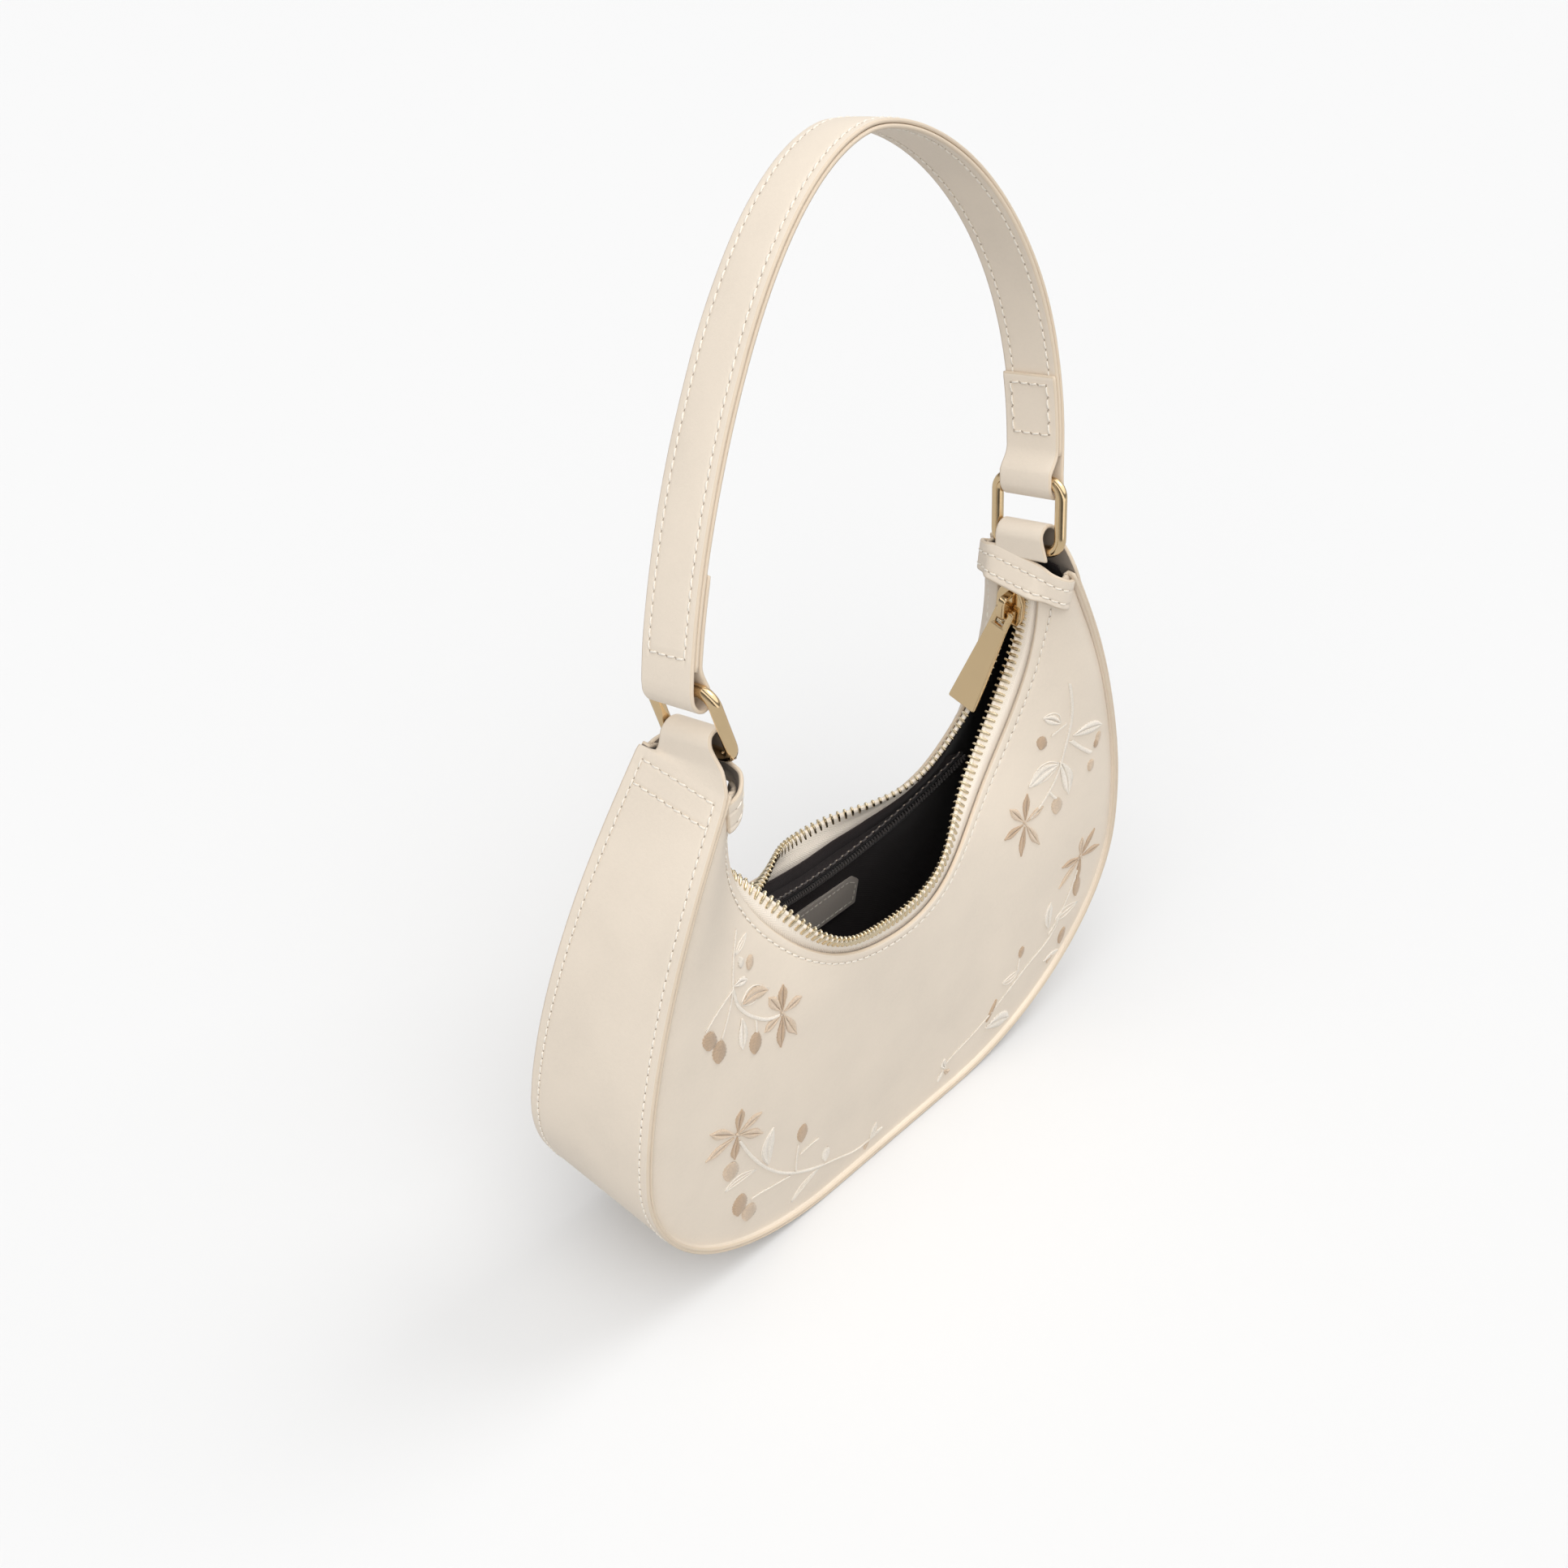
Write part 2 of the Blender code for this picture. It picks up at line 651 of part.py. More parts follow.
def make_bridge(middle, top):
    """The arch on the upper plate that the pull hangs on."""
    outer_turn = BRIDGE_LENGTH / 2 / middle
    inner_turn = outer_turn - BRIDGE_WIRE / middle
    foot = top + SLIDER_PLATE / 2
    crown = top - BRIDGE_HEIGHT
    profile = [
        (-outer_turn, foot), (-outer_turn, crown), (0.0, crown - BRIDGE_WIRE / 2), (outer_turn, crown),
        (outer_turn, foot), (inner_turn, foot), (inner_turn, crown + BRIDGE_WIRE),
        (-inner_turn, crown + BRIDGE_WIRE), (-inner_turn, foot),
    ]
    sections = [
        [arc_point(SLIDER_ANGLE + turn, radius, y) for turn, radius in profile]
        for y in (-BRIDGE_HALF_WIDTH, BRIDGE_HALF_WIDTH)
    ]
    return loft("bridge", sections, GOLD)


def make_slider():
    """Two shaped plates over and under the teeth, a post between the rows and the bridge for the pull."""
    middle = ARC_RADIUS - TAPE_RISE
    gap = TOOTH_THICKNESS / 2 + SLIDER_GAP
    half_turn = SLIDER_LENGTH / 2 / middle
    widths = [SLIDER_HALF_WIDTH * share for share in SLIDER_WIDTH_SHARES]
    angles = [SLIDER_ANGLE + half_turn * share for share in SLIDER_RUN_SHARES]
    upper = sector("slider_upper", angles, (middle - gap - SLIDER_PLATE, middle - gap), widths, GOLD)
    lower = sector("slider_lower", angles, (middle + gap, middle + gap + SLIDER_PLATE), widths, GOLD)
    post_start = angles[0] + SLIDER_GAP / middle
    post_angles = [post_start, post_start + SLIDER_POST_LENGTH / middle]
    sink = SLIDER_PLATE / 2
    post = sector(
        "slider_post", post_angles, (middle - gap - sink, middle + gap + sink), [SLIDER_POST_HALF] * 2, GOLD
    )
    top = middle - gap - SLIDER_PLATE
    bridge = make_bridge(middle, top)
    slider = join_solids("zip_slider", [upper, post, lower, bridge])
    set_origin(slider, Matrix.Translation(arc_point(0.0, 0.0, 0.0)))
    return slider


def pull_pivot():
    """The pull's bar, inside the bridge near its lower leg."""
    middle = ARC_RADIUS - TAPE_RISE
    top = middle - TOOTH_THICKNESS / 2 - SLIDER_GAP - SLIDER_PLATE
    radius = top - (BRIDGE_HEIGHT - BRIDGE_WIRE) / 2
    turn = (BRIDGE_LENGTH / 2 - BRIDGE_WIRE - PULL_BAR / 2 - PULL_SLACK) / middle
    return arc_point(SLIDER_ANGLE - turn, radius, 0.0)


def make_pull():
    """Long flat pull, widening to its end, hung on the bridge by the bar of its window."""
    bar = PULL_BAR / 2
    outline = [
        (-PULL_NECK_HALF_WIDTH, bar), (PULL_NECK_HALF_WIDTH, bar),
        (PULL_NECK_HALF_WIDTH, -PULL_WINDOW_LENGTH),
        (PULL_HALF_WIDTH, -PULL_LENGTH + PULL_HALF_WIDTH / 2),
        (PULL_HALF_WIDTH - PULL_BAR, -PULL_LENGTH), (-PULL_HALF_WIDTH + PULL_BAR, -PULL_LENGTH),
        (-PULL_HALF_WIDTH, -PULL_LENGTH + PULL_HALF_WIDTH / 2),
        (-PULL_NECK_HALF_WIDTH, -PULL_WINDOW_LENGTH),
    ]
    window = [
        (-PULL_WINDOW_HALF_WIDTH, -bar), (PULL_WINDOW_HALF_WIDTH, -bar),
        (PULL_WINDOW_HALF_WIDTH, -PULL_WINDOW_LENGTH - bar),
        (-PULL_WINDOW_HALF_WIDTH, -PULL_WINDOW_LENGTH - bar),
    ]
    pull = plate("zip_pull", outline, [window], PULL_THICKNESS, GOLD)
    # Its own X lies along the world's Y, and its length leans in towards the middle of the bag
    axes = Matrix.Rotation(PULL_LEAN, 4, "Y") @ Matrix.Rotation(PULL_SKEW, 4, "X")
    axes = axes @ Matrix.Rotation(math.pi / 2, 4, "Z") @ Matrix.Rotation(math.pi / 2, 4, "X")
    pull.matrix_world = Matrix.Translation(pull_pivot()) @ axes
    return pull


def make_mouth_zip():
    make_tape("front_zip_tape", FRONT)
    make_tape("back_zip_tape", BACK)
    make_teeth("front_zip_teeth", FRONT)
    make_teeth("back_zip_teeth", BACK)
    end = TIP_ANGLE - STOP_LENGTH / 2 / ARC_RADIUS + CLEARANCE / ARC_RADIUS
    make_zip_stop("zip_bottom_stop", end, (FRONT, BACK))
    make_zip_stop("zip_top_stop_front", -end, (FRONT,))
    make_zip_stop("zip_top_stop_back", -end, (BACK,))
    make_slider()
    make_pull()


# Tabs

TILT_HEIGHT = SHOULDER_HEIGHT + TANGENTS[LAST][1] * NECK_HEIGHT + CLEARANCE


def tongue_foot(y):
    """The tongue's lower edge, cut as a shallow V so that it can tilt on the neck."""
    notch = TONGUE_NOTCH_FRONT if y < 0 else TONGUE_NOTCH_BACK
    return CLEARANCE + abs(y) * math.tan(notch)


def make_tongue(name, side):
    """Loop over the ring's bar, leaning back with it about the crease at the neck."""
    columns = [TONGUE_HALF_WIDTH * share - TONGUE_FORWARD for share in GUSSET_COLUMN_SHARES]
    arc_height = TONGUE_RISE - TONGUE_LOOP_HALF
    rows = [[Vector((side * TONGUE_LOOP_HALF, y, tongue_foot(y))) for y in columns]]
    for k in range(TONGUE_ARC_STEPS + 1):
        turn = math.pi * k / TONGUE_ARC_STEPS
        x = side * TONGUE_LOOP_HALF * math.cos(turn)
        z = arc_height + TONGUE_LOOP_HALF * math.sin(turn)
        rows.append([Vector((x, y, z)) for y in columns])
    rows.append([Vector((-side * TONGUE_LOOP_HALF, y, tongue_foot(y))) for y in columns])
    tongue = sheet(name, rows, TONGUE_THICKNESS, (-side, 0, 0), LEATHER)
    centre_x = side * (TONGUE_INNER_X + TONGUE_LOOP_HALF)
    tongue.matrix_world = Matrix.Translation((centre_x, 0.0, TILT_HEIGHT)) @ lean_matrix()
    return tongue


def make_flap(name, side):
    """The tongue's sewn end: it spreads over both panel tips and the end of the zip."""
    tip = LAST if side == RIGHT else 0
    cover = PANEL_THICKNESS + 2 * CLEARANCE
    top = Vector((side * (TONGUE_INNER_X + TONGUE_THICKNESS), 0.0, TILT_HEIGHT - CLEARANCE))
    low = top - Vector((side * FLAP_LIFT, 0.0, FLAP_DROP))

    def wing(wall, share):
        """A strip of the flap on the panel's outside; its ends hang a little lower."""
        base = face_point(tip, share, wall) - inward(tip, share, wall) * cover
        fall = FLAP_END_FALL * (1 - share) / (1 - FLAP_FRONT_SHARES[0])
        heights = [lerp(low.z, top.z, up) - fall for up in FLAP_ROW_SHARES]
        return [Vector((base.x, base.y, height)) for height in heights]

    def middle(share):
        across = Vector((0.0, FLAP_CENTRE_HALF * share, 0.0))
        return [low.lerp(top, up) + across for up in FLAP_ROW_SHARES]

    columns = [wing(FRONT, share) for share in FLAP_FRONT_SHARES]
    columns += [middle(share) for share in FLAP_CENTRE_SHARES]
    columns += [wing(BACK, share) for share in FLAP_BACK_SHARES]
    rows = [[column[k] for column in columns] for k in range(len(FLAP_ROW_SHARES))]
    return sheet(name, rows, TONGUE_THICKNESS, -inward(tip, FLAP_FRONT_SHARES[0], FRONT), LEATHER)


# Rings and handle

def lean_matrix():
    return Matrix.Rotation(-HANDLE_LEAN, 4, "X")


def ring_base(side):
    """The middle of the ring's lower bar, against the tongue's inner leg."""
    x = TONGUE_INNER_X + TONGUE_THICKNESS + RING_WIRE_RADIUS + CLEARANCE
    bar = lean_matrix() @ Vector((0.0, -RING_FORWARD, RING_RISE))
    return Vector((side * x, 0.0, TILT_HEIGHT)) + bar


def ring_matrix(side):
    return Matrix.Translation(ring_base(side)) @ lean_matrix() @ Matrix.Rotation(side * RING_SWING, 4, "Y")


def ring_top(side):
    """The middle of the ring's upper bar."""
    return ring_matrix(side) @ Vector((0.0, 0.0, RING_LENGTH))


def make_ring(name, side):
    """Long rounded ring of round wire, bent in its own YZ plane, with the origin in its lower bar."""
    curve = bpy.data.curves.new(name, "CURVE")
    curve.dimensions = "3D"
    curve.bevel_depth = RING_WIRE_RADIUS
    curve.bevel_resolution = 2
    curve.resolution_u = 1
    corners = (
        (RING_HALF_WIDTH - RING_CORNER, RING_LENGTH - RING_CORNER, 0.0),
        (RING_CORNER - RING_HALF_WIDTH, RING_LENGTH - RING_CORNER, 0.5),
        (RING_CORNER - RING_HALF_WIDTH, RING_CORNER, 1.0),
        (RING_HALF_WIDTH - RING_CORNER, RING_CORNER, 1.5),
    )
    points = []
    for y, z, start in corners:
        for k in range(RING_CORNER_STEPS + 1):
            turn = math.pi * (start + 0.5 * k / RING_CORNER_STEPS)
            points.append((0.0, y + RING_CORNER * math.cos(turn), z + RING_CORNER * math.sin(turn)))
    spline = curve.splines.new("POLY")
    spline.points.add(len(points) - 1)
    for point, place in zip(spline.points, points):
        point.co = (*place, 1.0)
    spline.use_cyclic_u = True
    curve.materials.append(GOLD)
    ring = bpy.data.objects.new(name, curve)
    BAG.objects.link(ring)
    ring.matrix_world = ring_matrix(side)
    return ring


def handle_frame():
    """World matrix of the handle's plane: X across, Z up the lean, origin between the upper bars."""
    middle = (ring_top(LEFT) + ring_top(RIGHT)) / 2
    return Matrix.Translation(middle) @ lean_matrix()


def arch_point(turn):
    """The strap's outer face in the handle's plane: a near ellipse, swept to one side."""
    half_span = ring_top(RIGHT).x + LOOP_RADIUS + FACING_THICKNESS
    power = 2 / HANDLE_CURVE_POWER
    c, s = math.cos(turn), math.sin(turn)
    x = half_span * math.copysign(abs(c) ** power, c)
    z = HANDLE_RISE * abs(s) ** power
    sweep = HANDLE_SWEEP * math.sin(HANDLE_SWEEP_TURN * z / HANDLE_RISE)
    return Vector((x + sweep, 0.0, z))


def arch_points():
    """Even steps along the arch from the left ring to the right one."""
    fine = [arch_point(math.pi * (1 - k / ARCH_FINE_STEPS)) for k in range(ARCH_FINE_STEPS + 1)]
    runs = [0.0]
    for near, far in zip(fine, fine[1:]):
        runs.append(runs[-1] + (far - near).length)
    wanted = [runs[-1] * k / HANDLE_STEPS for k in range(HANDLE_STEPS + 1)]
    xs = np.interp(wanted, runs, [p.x for p in fine])
    zs = np.interp(wanted, runs, [p.z for p in fine])
    return [Vector((x, 0.0, z)) for x, z in zip(xs, zs)], runs[-1]


def side_normals(points):
    """Unit normals that point to the inside of the arch."""
    normals = []
    for k in range(len(points)):
        run = points[min(k + 1, len(points) - 1)] - points[max(k - 1, 0)]
        normals.append(Vector((run.z, 0.0, -run.x)).normalized())
    return normals


def strip(name, path, thickness, towards, finish):
    """A strap layer: a path in the handle's plane, as wide as the handle, thickened to one side."""
    frame = handle_frame()
    rows = [
        [frame @ Vector((p.x, y, p.z)) for y in (-HANDLE_HALF_WIDTH, 0.0, HANDLE_HALF_WIDTH)]
        for p in path
    ]
    return sheet(name, rows, thickness, frame.to_3x3() @ towards, finish)


def loop_run(side, arch, normals):
    """The facing's outer surface at one end: down past the bar, round it, and up the inner side."""
    ends = ring_top(side)
    centre = Vector((ends.x, 0.0, 0.0))
    outer = LOOP_RADIUS + FACING_THICKNESS
    stack = FACING_THICKNESS + 2 * CLEARANCE + BACKING_THICKNESS + FACING_THICKNESS
    inner_run = []
    run = 0.0
    for k in range(1, len(arch)):
        run += (arch[k] - arch[k - 1]).length
        if run > FOLD_LENGTH:
            break
        share = min(run / LOOP_STEM, 1.0)
        ease = share * share * (3 - 2 * share)
        inner_run.append(arch[k] + normals[k] * lerp(2 * outer, stack, ease))
    turn_points = []
    for k in range(LOOP_STEPS + 1):
        turn = math.pi * k / LOOP_STEPS
        spoke = Vector((side * outer * math.cos(turn), 0.0, -LOOP_DROP - outer * math.sin(turn)))
        turn_points.append(centre + spoke)
    return turn_points, inner_run


def make_handle():
    arch, length = arch_points()
    normals = side_normals(arch)
    right_turn, right_inner = loop_run(RIGHT, arch[::-1], normals[::-1])
    left_turn, left_inner = loop_run(LEFT, arch, normals)
    path = left_inner[::-1] + left_turn[::-1] + arch[1:-1] + right_turn + right_inner
    facing = strip("handle_facing", path, FACING_THICKNESS, Vector((-1, 0, 0)), LEATHER)
    reach = FACING_THICKNESS + CLEARANCE
    first = next(k for k in range(len(arch)) if length * k / HANDLE_STEPS > LOOP_STEM)
    backing = [
        arch[k] + normals[k] * (reach + BACKING_THICKNESS) for k in range(first, len(arch) - first)
    ]
    lining = strip("handle_backing", backing, BACKING_THICKNESS, Vector((-1, 0, 0)), LEATHER)
    pivot = Matrix.Translation(ring_top(LEFT)) @ lean_matrix()
    for layer in (facing, lining):
        set_origin(layer, pivot)


def make_carrying():
    for name, side in (("left", LEFT), ("right", RIGHT)):
        make_tongue(name + "_tongue", side)
        make_flap(name + "_flap", side)
        make_ring(name + "_ring", side)
    make_handle()


# Inner pocket and label

def lining_top(i, share):
    """The back lining's inner surface."""
    depth = lining_depth(BACK)(share) + LINING_THICKNESS
    return face_point(i, share, BACK) + inward(i, share, BACK) * depth


def on_lining(angle, radius):
    """The back lining's inner surface at an angle and a radius about the mouth's centre."""
    i = float(np.interp(angle, MOUTH_ANGLES, range(LAST + 1)))
    near, part_way = int(i), i - int(i)
    low, high = 0.0, 1.0
    for _ in range(SEARCH_STEPS):
        share = (low + high) / 2
        point = lining_top(near, share).lerp(lining_top(min(near + 1, LAST), share), part_way)
        reach = math.hypot(point.x, point.z - ARC_HEIGHT)
        low, high = (share, high) if reach > radius else (low, share)
    return point


def pocket_angles():
    return [lerp(-POCKET_HALF_ANGLE, POCKET_HALF_ANGLE, k / POCKET_STEPS) for k in range(POCKET_STEPS + 1)]


def pocket_plane():
    """The flat plane of the pocket's zip, just off the lining: a point of it and its way up."""
    points = [on_lining(angle, POCKET_RADIUS) for angle in pocket_angles()]
    middle, end = points[POCKET_STEPS // 2], points[-1]
    slope = (end.y - middle.y) / (end.z - middle.z)
    lowest = min(p.y - slope * (p.z - ARC_HEIGHT) for p in points)
    up = Vector((0.0, slope, 1.0)).normalized()
    return Vector((0.0, lowest, ARC_HEIGHT)), up


POCKET_CENTRE, POCKET_UP = pocket_plane()
POCKET_OFF = Vector((1, 0, 0)).cross(POCKET_UP)


def pocket_frame(angle):
    """On the pocket zip's arc: the place, the run of the zip and the way up."""
    outward = Vector((1, 0, 0)) * math.sin(angle) - POCKET_UP * math.cos(angle)
    run = Vector((1, 0, 0)) * math.cos(angle) + POCKET_UP * math.sin(angle)
    return POCKET_CENTRE + outward * POCKET_RADIUS, run, -outward


COIL_STANDOFF = 2 * CLEARANCE + POCKET_TAPE_THICKNESS + COIL_RADIUS
POCKET_SLIDER_STANDOFF = COIL_STANDOFF + COIL_RADIUS + CLEARANCE


def make_pocket_zip():
    """Tape sewn to the lining along both edges, with the coil on the welt between them."""
    rows = [[], [], [], []]
    sections = []
    off = POCKET_OFF
    for angle in pocket_angles():
        place, _, up = pocket_frame(angle)
        seam_off = Vector((0.0, -2 * CLEARANCE, 0.0))
        rows[0].append(on_lining(angle, POCKET_RADIUS + POCKET_TAPE_HALF) + seam_off)
        rows[1].append(place + off * CLEARANCE - up * COIL_RADIUS)
        rows[2].append(place + off * CLEARANCE + up * COIL_RADIUS)
        rows[3].append(on_lining(angle, POCKET_RADIUS - POCKET_TAPE_HALF) + seam_off)
        section = []
        for k in range(COIL_SIDES):
            turn = 2 * math.pi * k / COIL_SIDES
            spoke = up * math.cos(turn) + off * math.sin(turn)
            section.append(place + off * COIL_STANDOFF + spoke * COIL_RADIUS)
        sections.append(section)
    sheet("pocket_zip_tape", rows, POCKET_TAPE_THICKNESS, off, TEXTILE)
    loft("pocket_zip_coil", sections, BLACK_ZIP)


def pocket_block(name, angle, run_range, off_range, half, finish):
    """A block on the pocket's zip, measured along the zip, off the wall and across."""
    place, run, up = pocket_frame(angle)
    off = POCKET_OFF
    sections = []
    for along in run_range:
        centre = place + run * along
        sections.append([
            centre + off * off_range[0] - up * half, centre + off * off_range[0] + up * half,
            centre + off * off_range[1] + up * half, centre + off * off_range[1] - up * half,
        ])
    return loft(name, sections, finish)


def make_pocket_slider():
    length = POCKET_SLIDER_LENGTH / 2
    plate_top = POCKET_SLIDER_STANDOFF + POCKET_SLIDER_THICKNESS
    body = pocket_block(
        "body", POCKET_SLIDER_ANGLE, (-length, length), (POCKET_SLIDER_STANDOFF, plate_top),
        POCKET_SLIDER_HALF_WIDTH, BLACK_METAL,
    )
    place, run, up = pocket_frame(POCKET_SLIDER_ANGLE)
    foot, crown = plate_top - POCKET_SLIDER_THICKNESS / 2, plate_top + POCKET_BRIDGE_HEIGHT
    outer, wire = POCKET_SLIDER_LENGTH / 4 + POCKET_BRIDGE_WIRE, POCKET_BRIDGE_WIRE
    profile = [
        (-outer, foot), (-outer, crown), (outer, crown), (outer, foot), (outer - wire, foot),
        (outer - wire, crown - wire), (wire - outer, crown - wire), (wire - outer, foot),
    ]
    sections = [
        [place + run * along + POCKET_OFF * off + up * across for along, off in profile]
        for across in (-POCKET_BRIDGE_HALF_WIDTH, POCKET_BRIDGE_HALF_WIDTH)
    ]
    bridge = loft("pocket_bridge", sections, BLACK_METAL)
    slider = join_solids("pocket_zip_slider", [body, bridge])
    set_origin(slider, Matrix.Translation(POCKET_CENTRE))
    return slider


def pocket_pull_matrix():
    """The pull's bar under the bridge, its length along the zip and its thickness off the wall."""
    place, run, up = pocket_frame(POCKET_SLIDER_ANGLE)
    off = POCKET_OFF
    plate_top = POCKET_SLIDER_STANDOFF + POCKET_SLIDER_THICKNESS
    height = plate_top + CLEARANCE + POCKET_PULL_THICKNESS / 2
    origin = place + off * height + run * (POCKET_SLIDER_LENGTH / 4 - POCKET_PULL_THICKNESS)
    rotation = Matrix((-up, run, off)).transposed().to_4x4()
    return Matrix.Translation(origin) @ rotation


def make_pocket_pull():
    half, bar = POCKET_PULL_HALF_WIDTH, POCKET_PULL_THICKNESS / 2
    outline = [
        (-half, -bar), (half, -bar), (half, POCKET_PULL_LENGTH - half),
        (half / 2, POCKET_PULL_LENGTH), (-half / 2, POCKET_PULL_LENGTH), (-half, POCKET_PULL_LENGTH - half),
    ]
    window_half = half - POCKET_PULL_THICKNESS
    far = POCKET_SLIDER_LENGTH / 4 + 2 * POCKET_PULL_THICKNESS
    window = [(-window_half, bar), (window_half, bar), (window_half, far), (-window_half, far)]
    pull = plate("pocket_zip_pull", outline, [window], POCKET_PULL_THICKNESS, BLACK_METAL)
    pull.matrix_world = pocket_pull_matrix()
    return pull


def make_pouch():
    """The pocket's bag, flat between the back stiffener and the lining."""
    last = station_at(POUCH_STATION_SHARE)
    rows = face_rows(BACK, POUCH_SHARES, lambda share: POUCH_DEPTH, LAST - last, last)
    into = inward(LAST - last, POUCH_SHARES[0], BACK)
    return sheet("pocket_pouch", rows, POUCH_THICKNESS, into, TEXTILE)


def wall_y(height):
    """How far back the lining's inner surface is at a height above the middle of the bottom."""
    middle = LAST // 2
    seam, edge = face_point(middle, 0.0, BACK).z, face_point(middle, 1.0, BACK).z
    return lining_top(middle, (height - seam) / (edge - seam)).y


def make_label():
    """Bare leather patch with a pointed end, sewn to the back lining."""
    long, tall, point = LABEL_HALF_LENGTH, LABEL_HALF_HEIGHT, LABEL_POINT
    outline = [
        (-long, -tall), (long - point / 2, -tall), (long, tall - point), (long - point, tall), (-long, tall),
    ]
    label = plate("label_patch", outline, [], LABEL_THICKNESS, LABEL)
    low, high = LABEL_HEIGHT - LABEL_HALF_HEIGHT, LABEL_HEIGHT + LABEL_HALF_HEIGHT
    slope = math.atan2(wall_y(low) - wall_y(high), high - low)
    y = min(wall_y(low), wall_y(high)) - LABEL_STANDOFF - LABEL_THICKNESS
    label.matrix_world = (
        Matrix.Translation((0.0, y, LABEL_HEIGHT)) @ Matrix.Rotation(math.pi / 2 + slope, 4, "X")
    )
    return label


def make_pocket():
    make_pouch()
    make_pocket_zip()
    make_pocket_slider()
    make_pocket_pull()
    make_label()


make_body()
make_mouth_zip()
make_carrying()
make_pocket()
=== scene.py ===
"""Looks of the crescent top handle bag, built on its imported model: leather, thread, cloth and metal."""
import math

import bmesh
import bpy
import numpy as np
from mathutils import Matrix, Vector, noise
from mathutils.bvhtree import BVHTree


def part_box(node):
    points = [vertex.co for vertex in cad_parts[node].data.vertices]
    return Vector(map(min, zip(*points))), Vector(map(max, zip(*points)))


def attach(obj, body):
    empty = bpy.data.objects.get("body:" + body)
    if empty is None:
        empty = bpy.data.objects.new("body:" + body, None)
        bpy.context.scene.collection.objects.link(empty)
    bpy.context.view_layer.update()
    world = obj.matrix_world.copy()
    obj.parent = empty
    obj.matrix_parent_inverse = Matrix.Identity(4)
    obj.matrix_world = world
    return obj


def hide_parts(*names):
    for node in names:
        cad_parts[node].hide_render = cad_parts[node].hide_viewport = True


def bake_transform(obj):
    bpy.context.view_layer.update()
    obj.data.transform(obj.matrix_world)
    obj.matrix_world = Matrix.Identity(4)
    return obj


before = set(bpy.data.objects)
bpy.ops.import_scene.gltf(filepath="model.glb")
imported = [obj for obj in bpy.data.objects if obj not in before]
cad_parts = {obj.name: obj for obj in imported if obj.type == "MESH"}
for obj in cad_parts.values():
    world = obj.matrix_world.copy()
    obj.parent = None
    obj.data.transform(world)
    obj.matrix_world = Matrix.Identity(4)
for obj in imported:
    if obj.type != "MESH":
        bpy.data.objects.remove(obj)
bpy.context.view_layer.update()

# Sizes in metres, as in the part's source, but FLAP_DROP and LOOP_WIDTH are smaller for more clearance
HALF_WIDTH, WIDEST_HEIGHT, FLAT_HALF = 0.125, 0.076, 0.034
SHOULDER_HEIGHT, SHOULDER_INSET, UPPER_CURVE_POWER = 0.207, 0.041, 1.8
BOTTOM_HALF_DEPTH, SHOULDER_HALF_DEPTH, DEPTH_SWELL = 0.029, 0.0173, 0.0021
TIP_ANGLE, TIP_LAND, TIP_DROP = math.radians(103), 0.00995, 0.0049
ARC_RADIUS = (HALF_WIDTH - SHOULDER_INSET - TIP_LAND) / math.sin(TIP_ANGLE)
ARC_HEIGHT = SHOULDER_HEIGHT - TIP_DROP + ARC_RADIUS * math.cos(TIP_ANGLE)
EDGE_HALF_GAP = 0.0091
FRONT_BULGE = (0.017, math.radians(-12), math.radians(40))
BACK_BULGE = (0.013, math.radians(-4), math.radians(29))
BACK_CLOSING, BACK_CLOSING_FROM, BACK_CLOSING_TO = 0.0028, math.radians(42), math.radians(76)
BACK_TURN_POWER = 4.5
GAP = 0.0003
GUSSET, PANEL, LINING, TAPE = 0.0014, 0.0012, 0.0006, 0.0006
RIM_HEIGHT, RIM_LIFT, PANEL_CROWN, DRAW_IN_POWER = 0.0025, 0.0012, 0.0020, 2.2
SEAM_INSET = GUSSET + GAP
WALL_DEPTH = {-1: 0.0012, 1: 0.0023}
TAPE_SEAM_SHARE, TAPE_FREE, TAPE_RISE = 0.93, 0.0063, 0.0008
TILT_SMOOTHING = (-8, -4, 0, 4, 8)
FRONT_TILT = (
    (-80, -70, -56, -46, -36, -24, -12, 8, 20, 32, 44, 60, 70, 80),
    (0, 30, 88, 122, 132, 106, 90, 84, 90, 62, 50, 40, 18, 0),
)
BACK_TILT = (
    (-80, -60, -40, -28, -20, -12, -4, 4, 12, 20, 28, 44, 60, 70, 80),
    (0, 8, 14, 26, 56, 98, 128, 122, 92, 66, 52, 48, 42, 18, 0),
)
TOOTH_PITCH, TOOTH_THICKNESS, STOP_LENGTH = 0.00254, 0.0024, 0.0028
SLIDER_ANGLE = TIP_ANGLE - 0.0113 / ARC_RADIUS
SLIDER_LENGTH, SLIDER_HALF_WIDTH, SLIDER_PLATE, SLIDER_GAP = 0.0165, 0.0055, 0.0012, 0.0004
BRIDGE_HEIGHT, BRIDGE_WIRE, BRIDGE_LENGTH = 0.0050, 0.0013, 0.0095
PULL_LENGTH, PULL_WIDE, PULL_NECK, PULL_THICKNESS = 0.0385, 0.0059, 0.0038, 0.0013
TONGUE_FORWARD, TONGUE = 0.0011, 0.0014
TONGUE_LOOP_HALF, TONGUE_RISE, TONGUE_INNER_X = 0.0047, 0.0105, 0.073
FLAP_DROP, FLAP_LIFT, FLAP_CENTRE_HALF, FLAP_END_FALL = 0.0106, 0.0040, 0.0098, 0.0045
LEAN = math.radians(15.5)
RING_WIRE, RING_LENGTH, RING_HALF, RING_CORNER = 0.0020, 0.0230, 0.013, 0.0046
RING_FORWARD, RING_RISE, RING_SWING = 0.0020, 0.0016, math.radians(11)
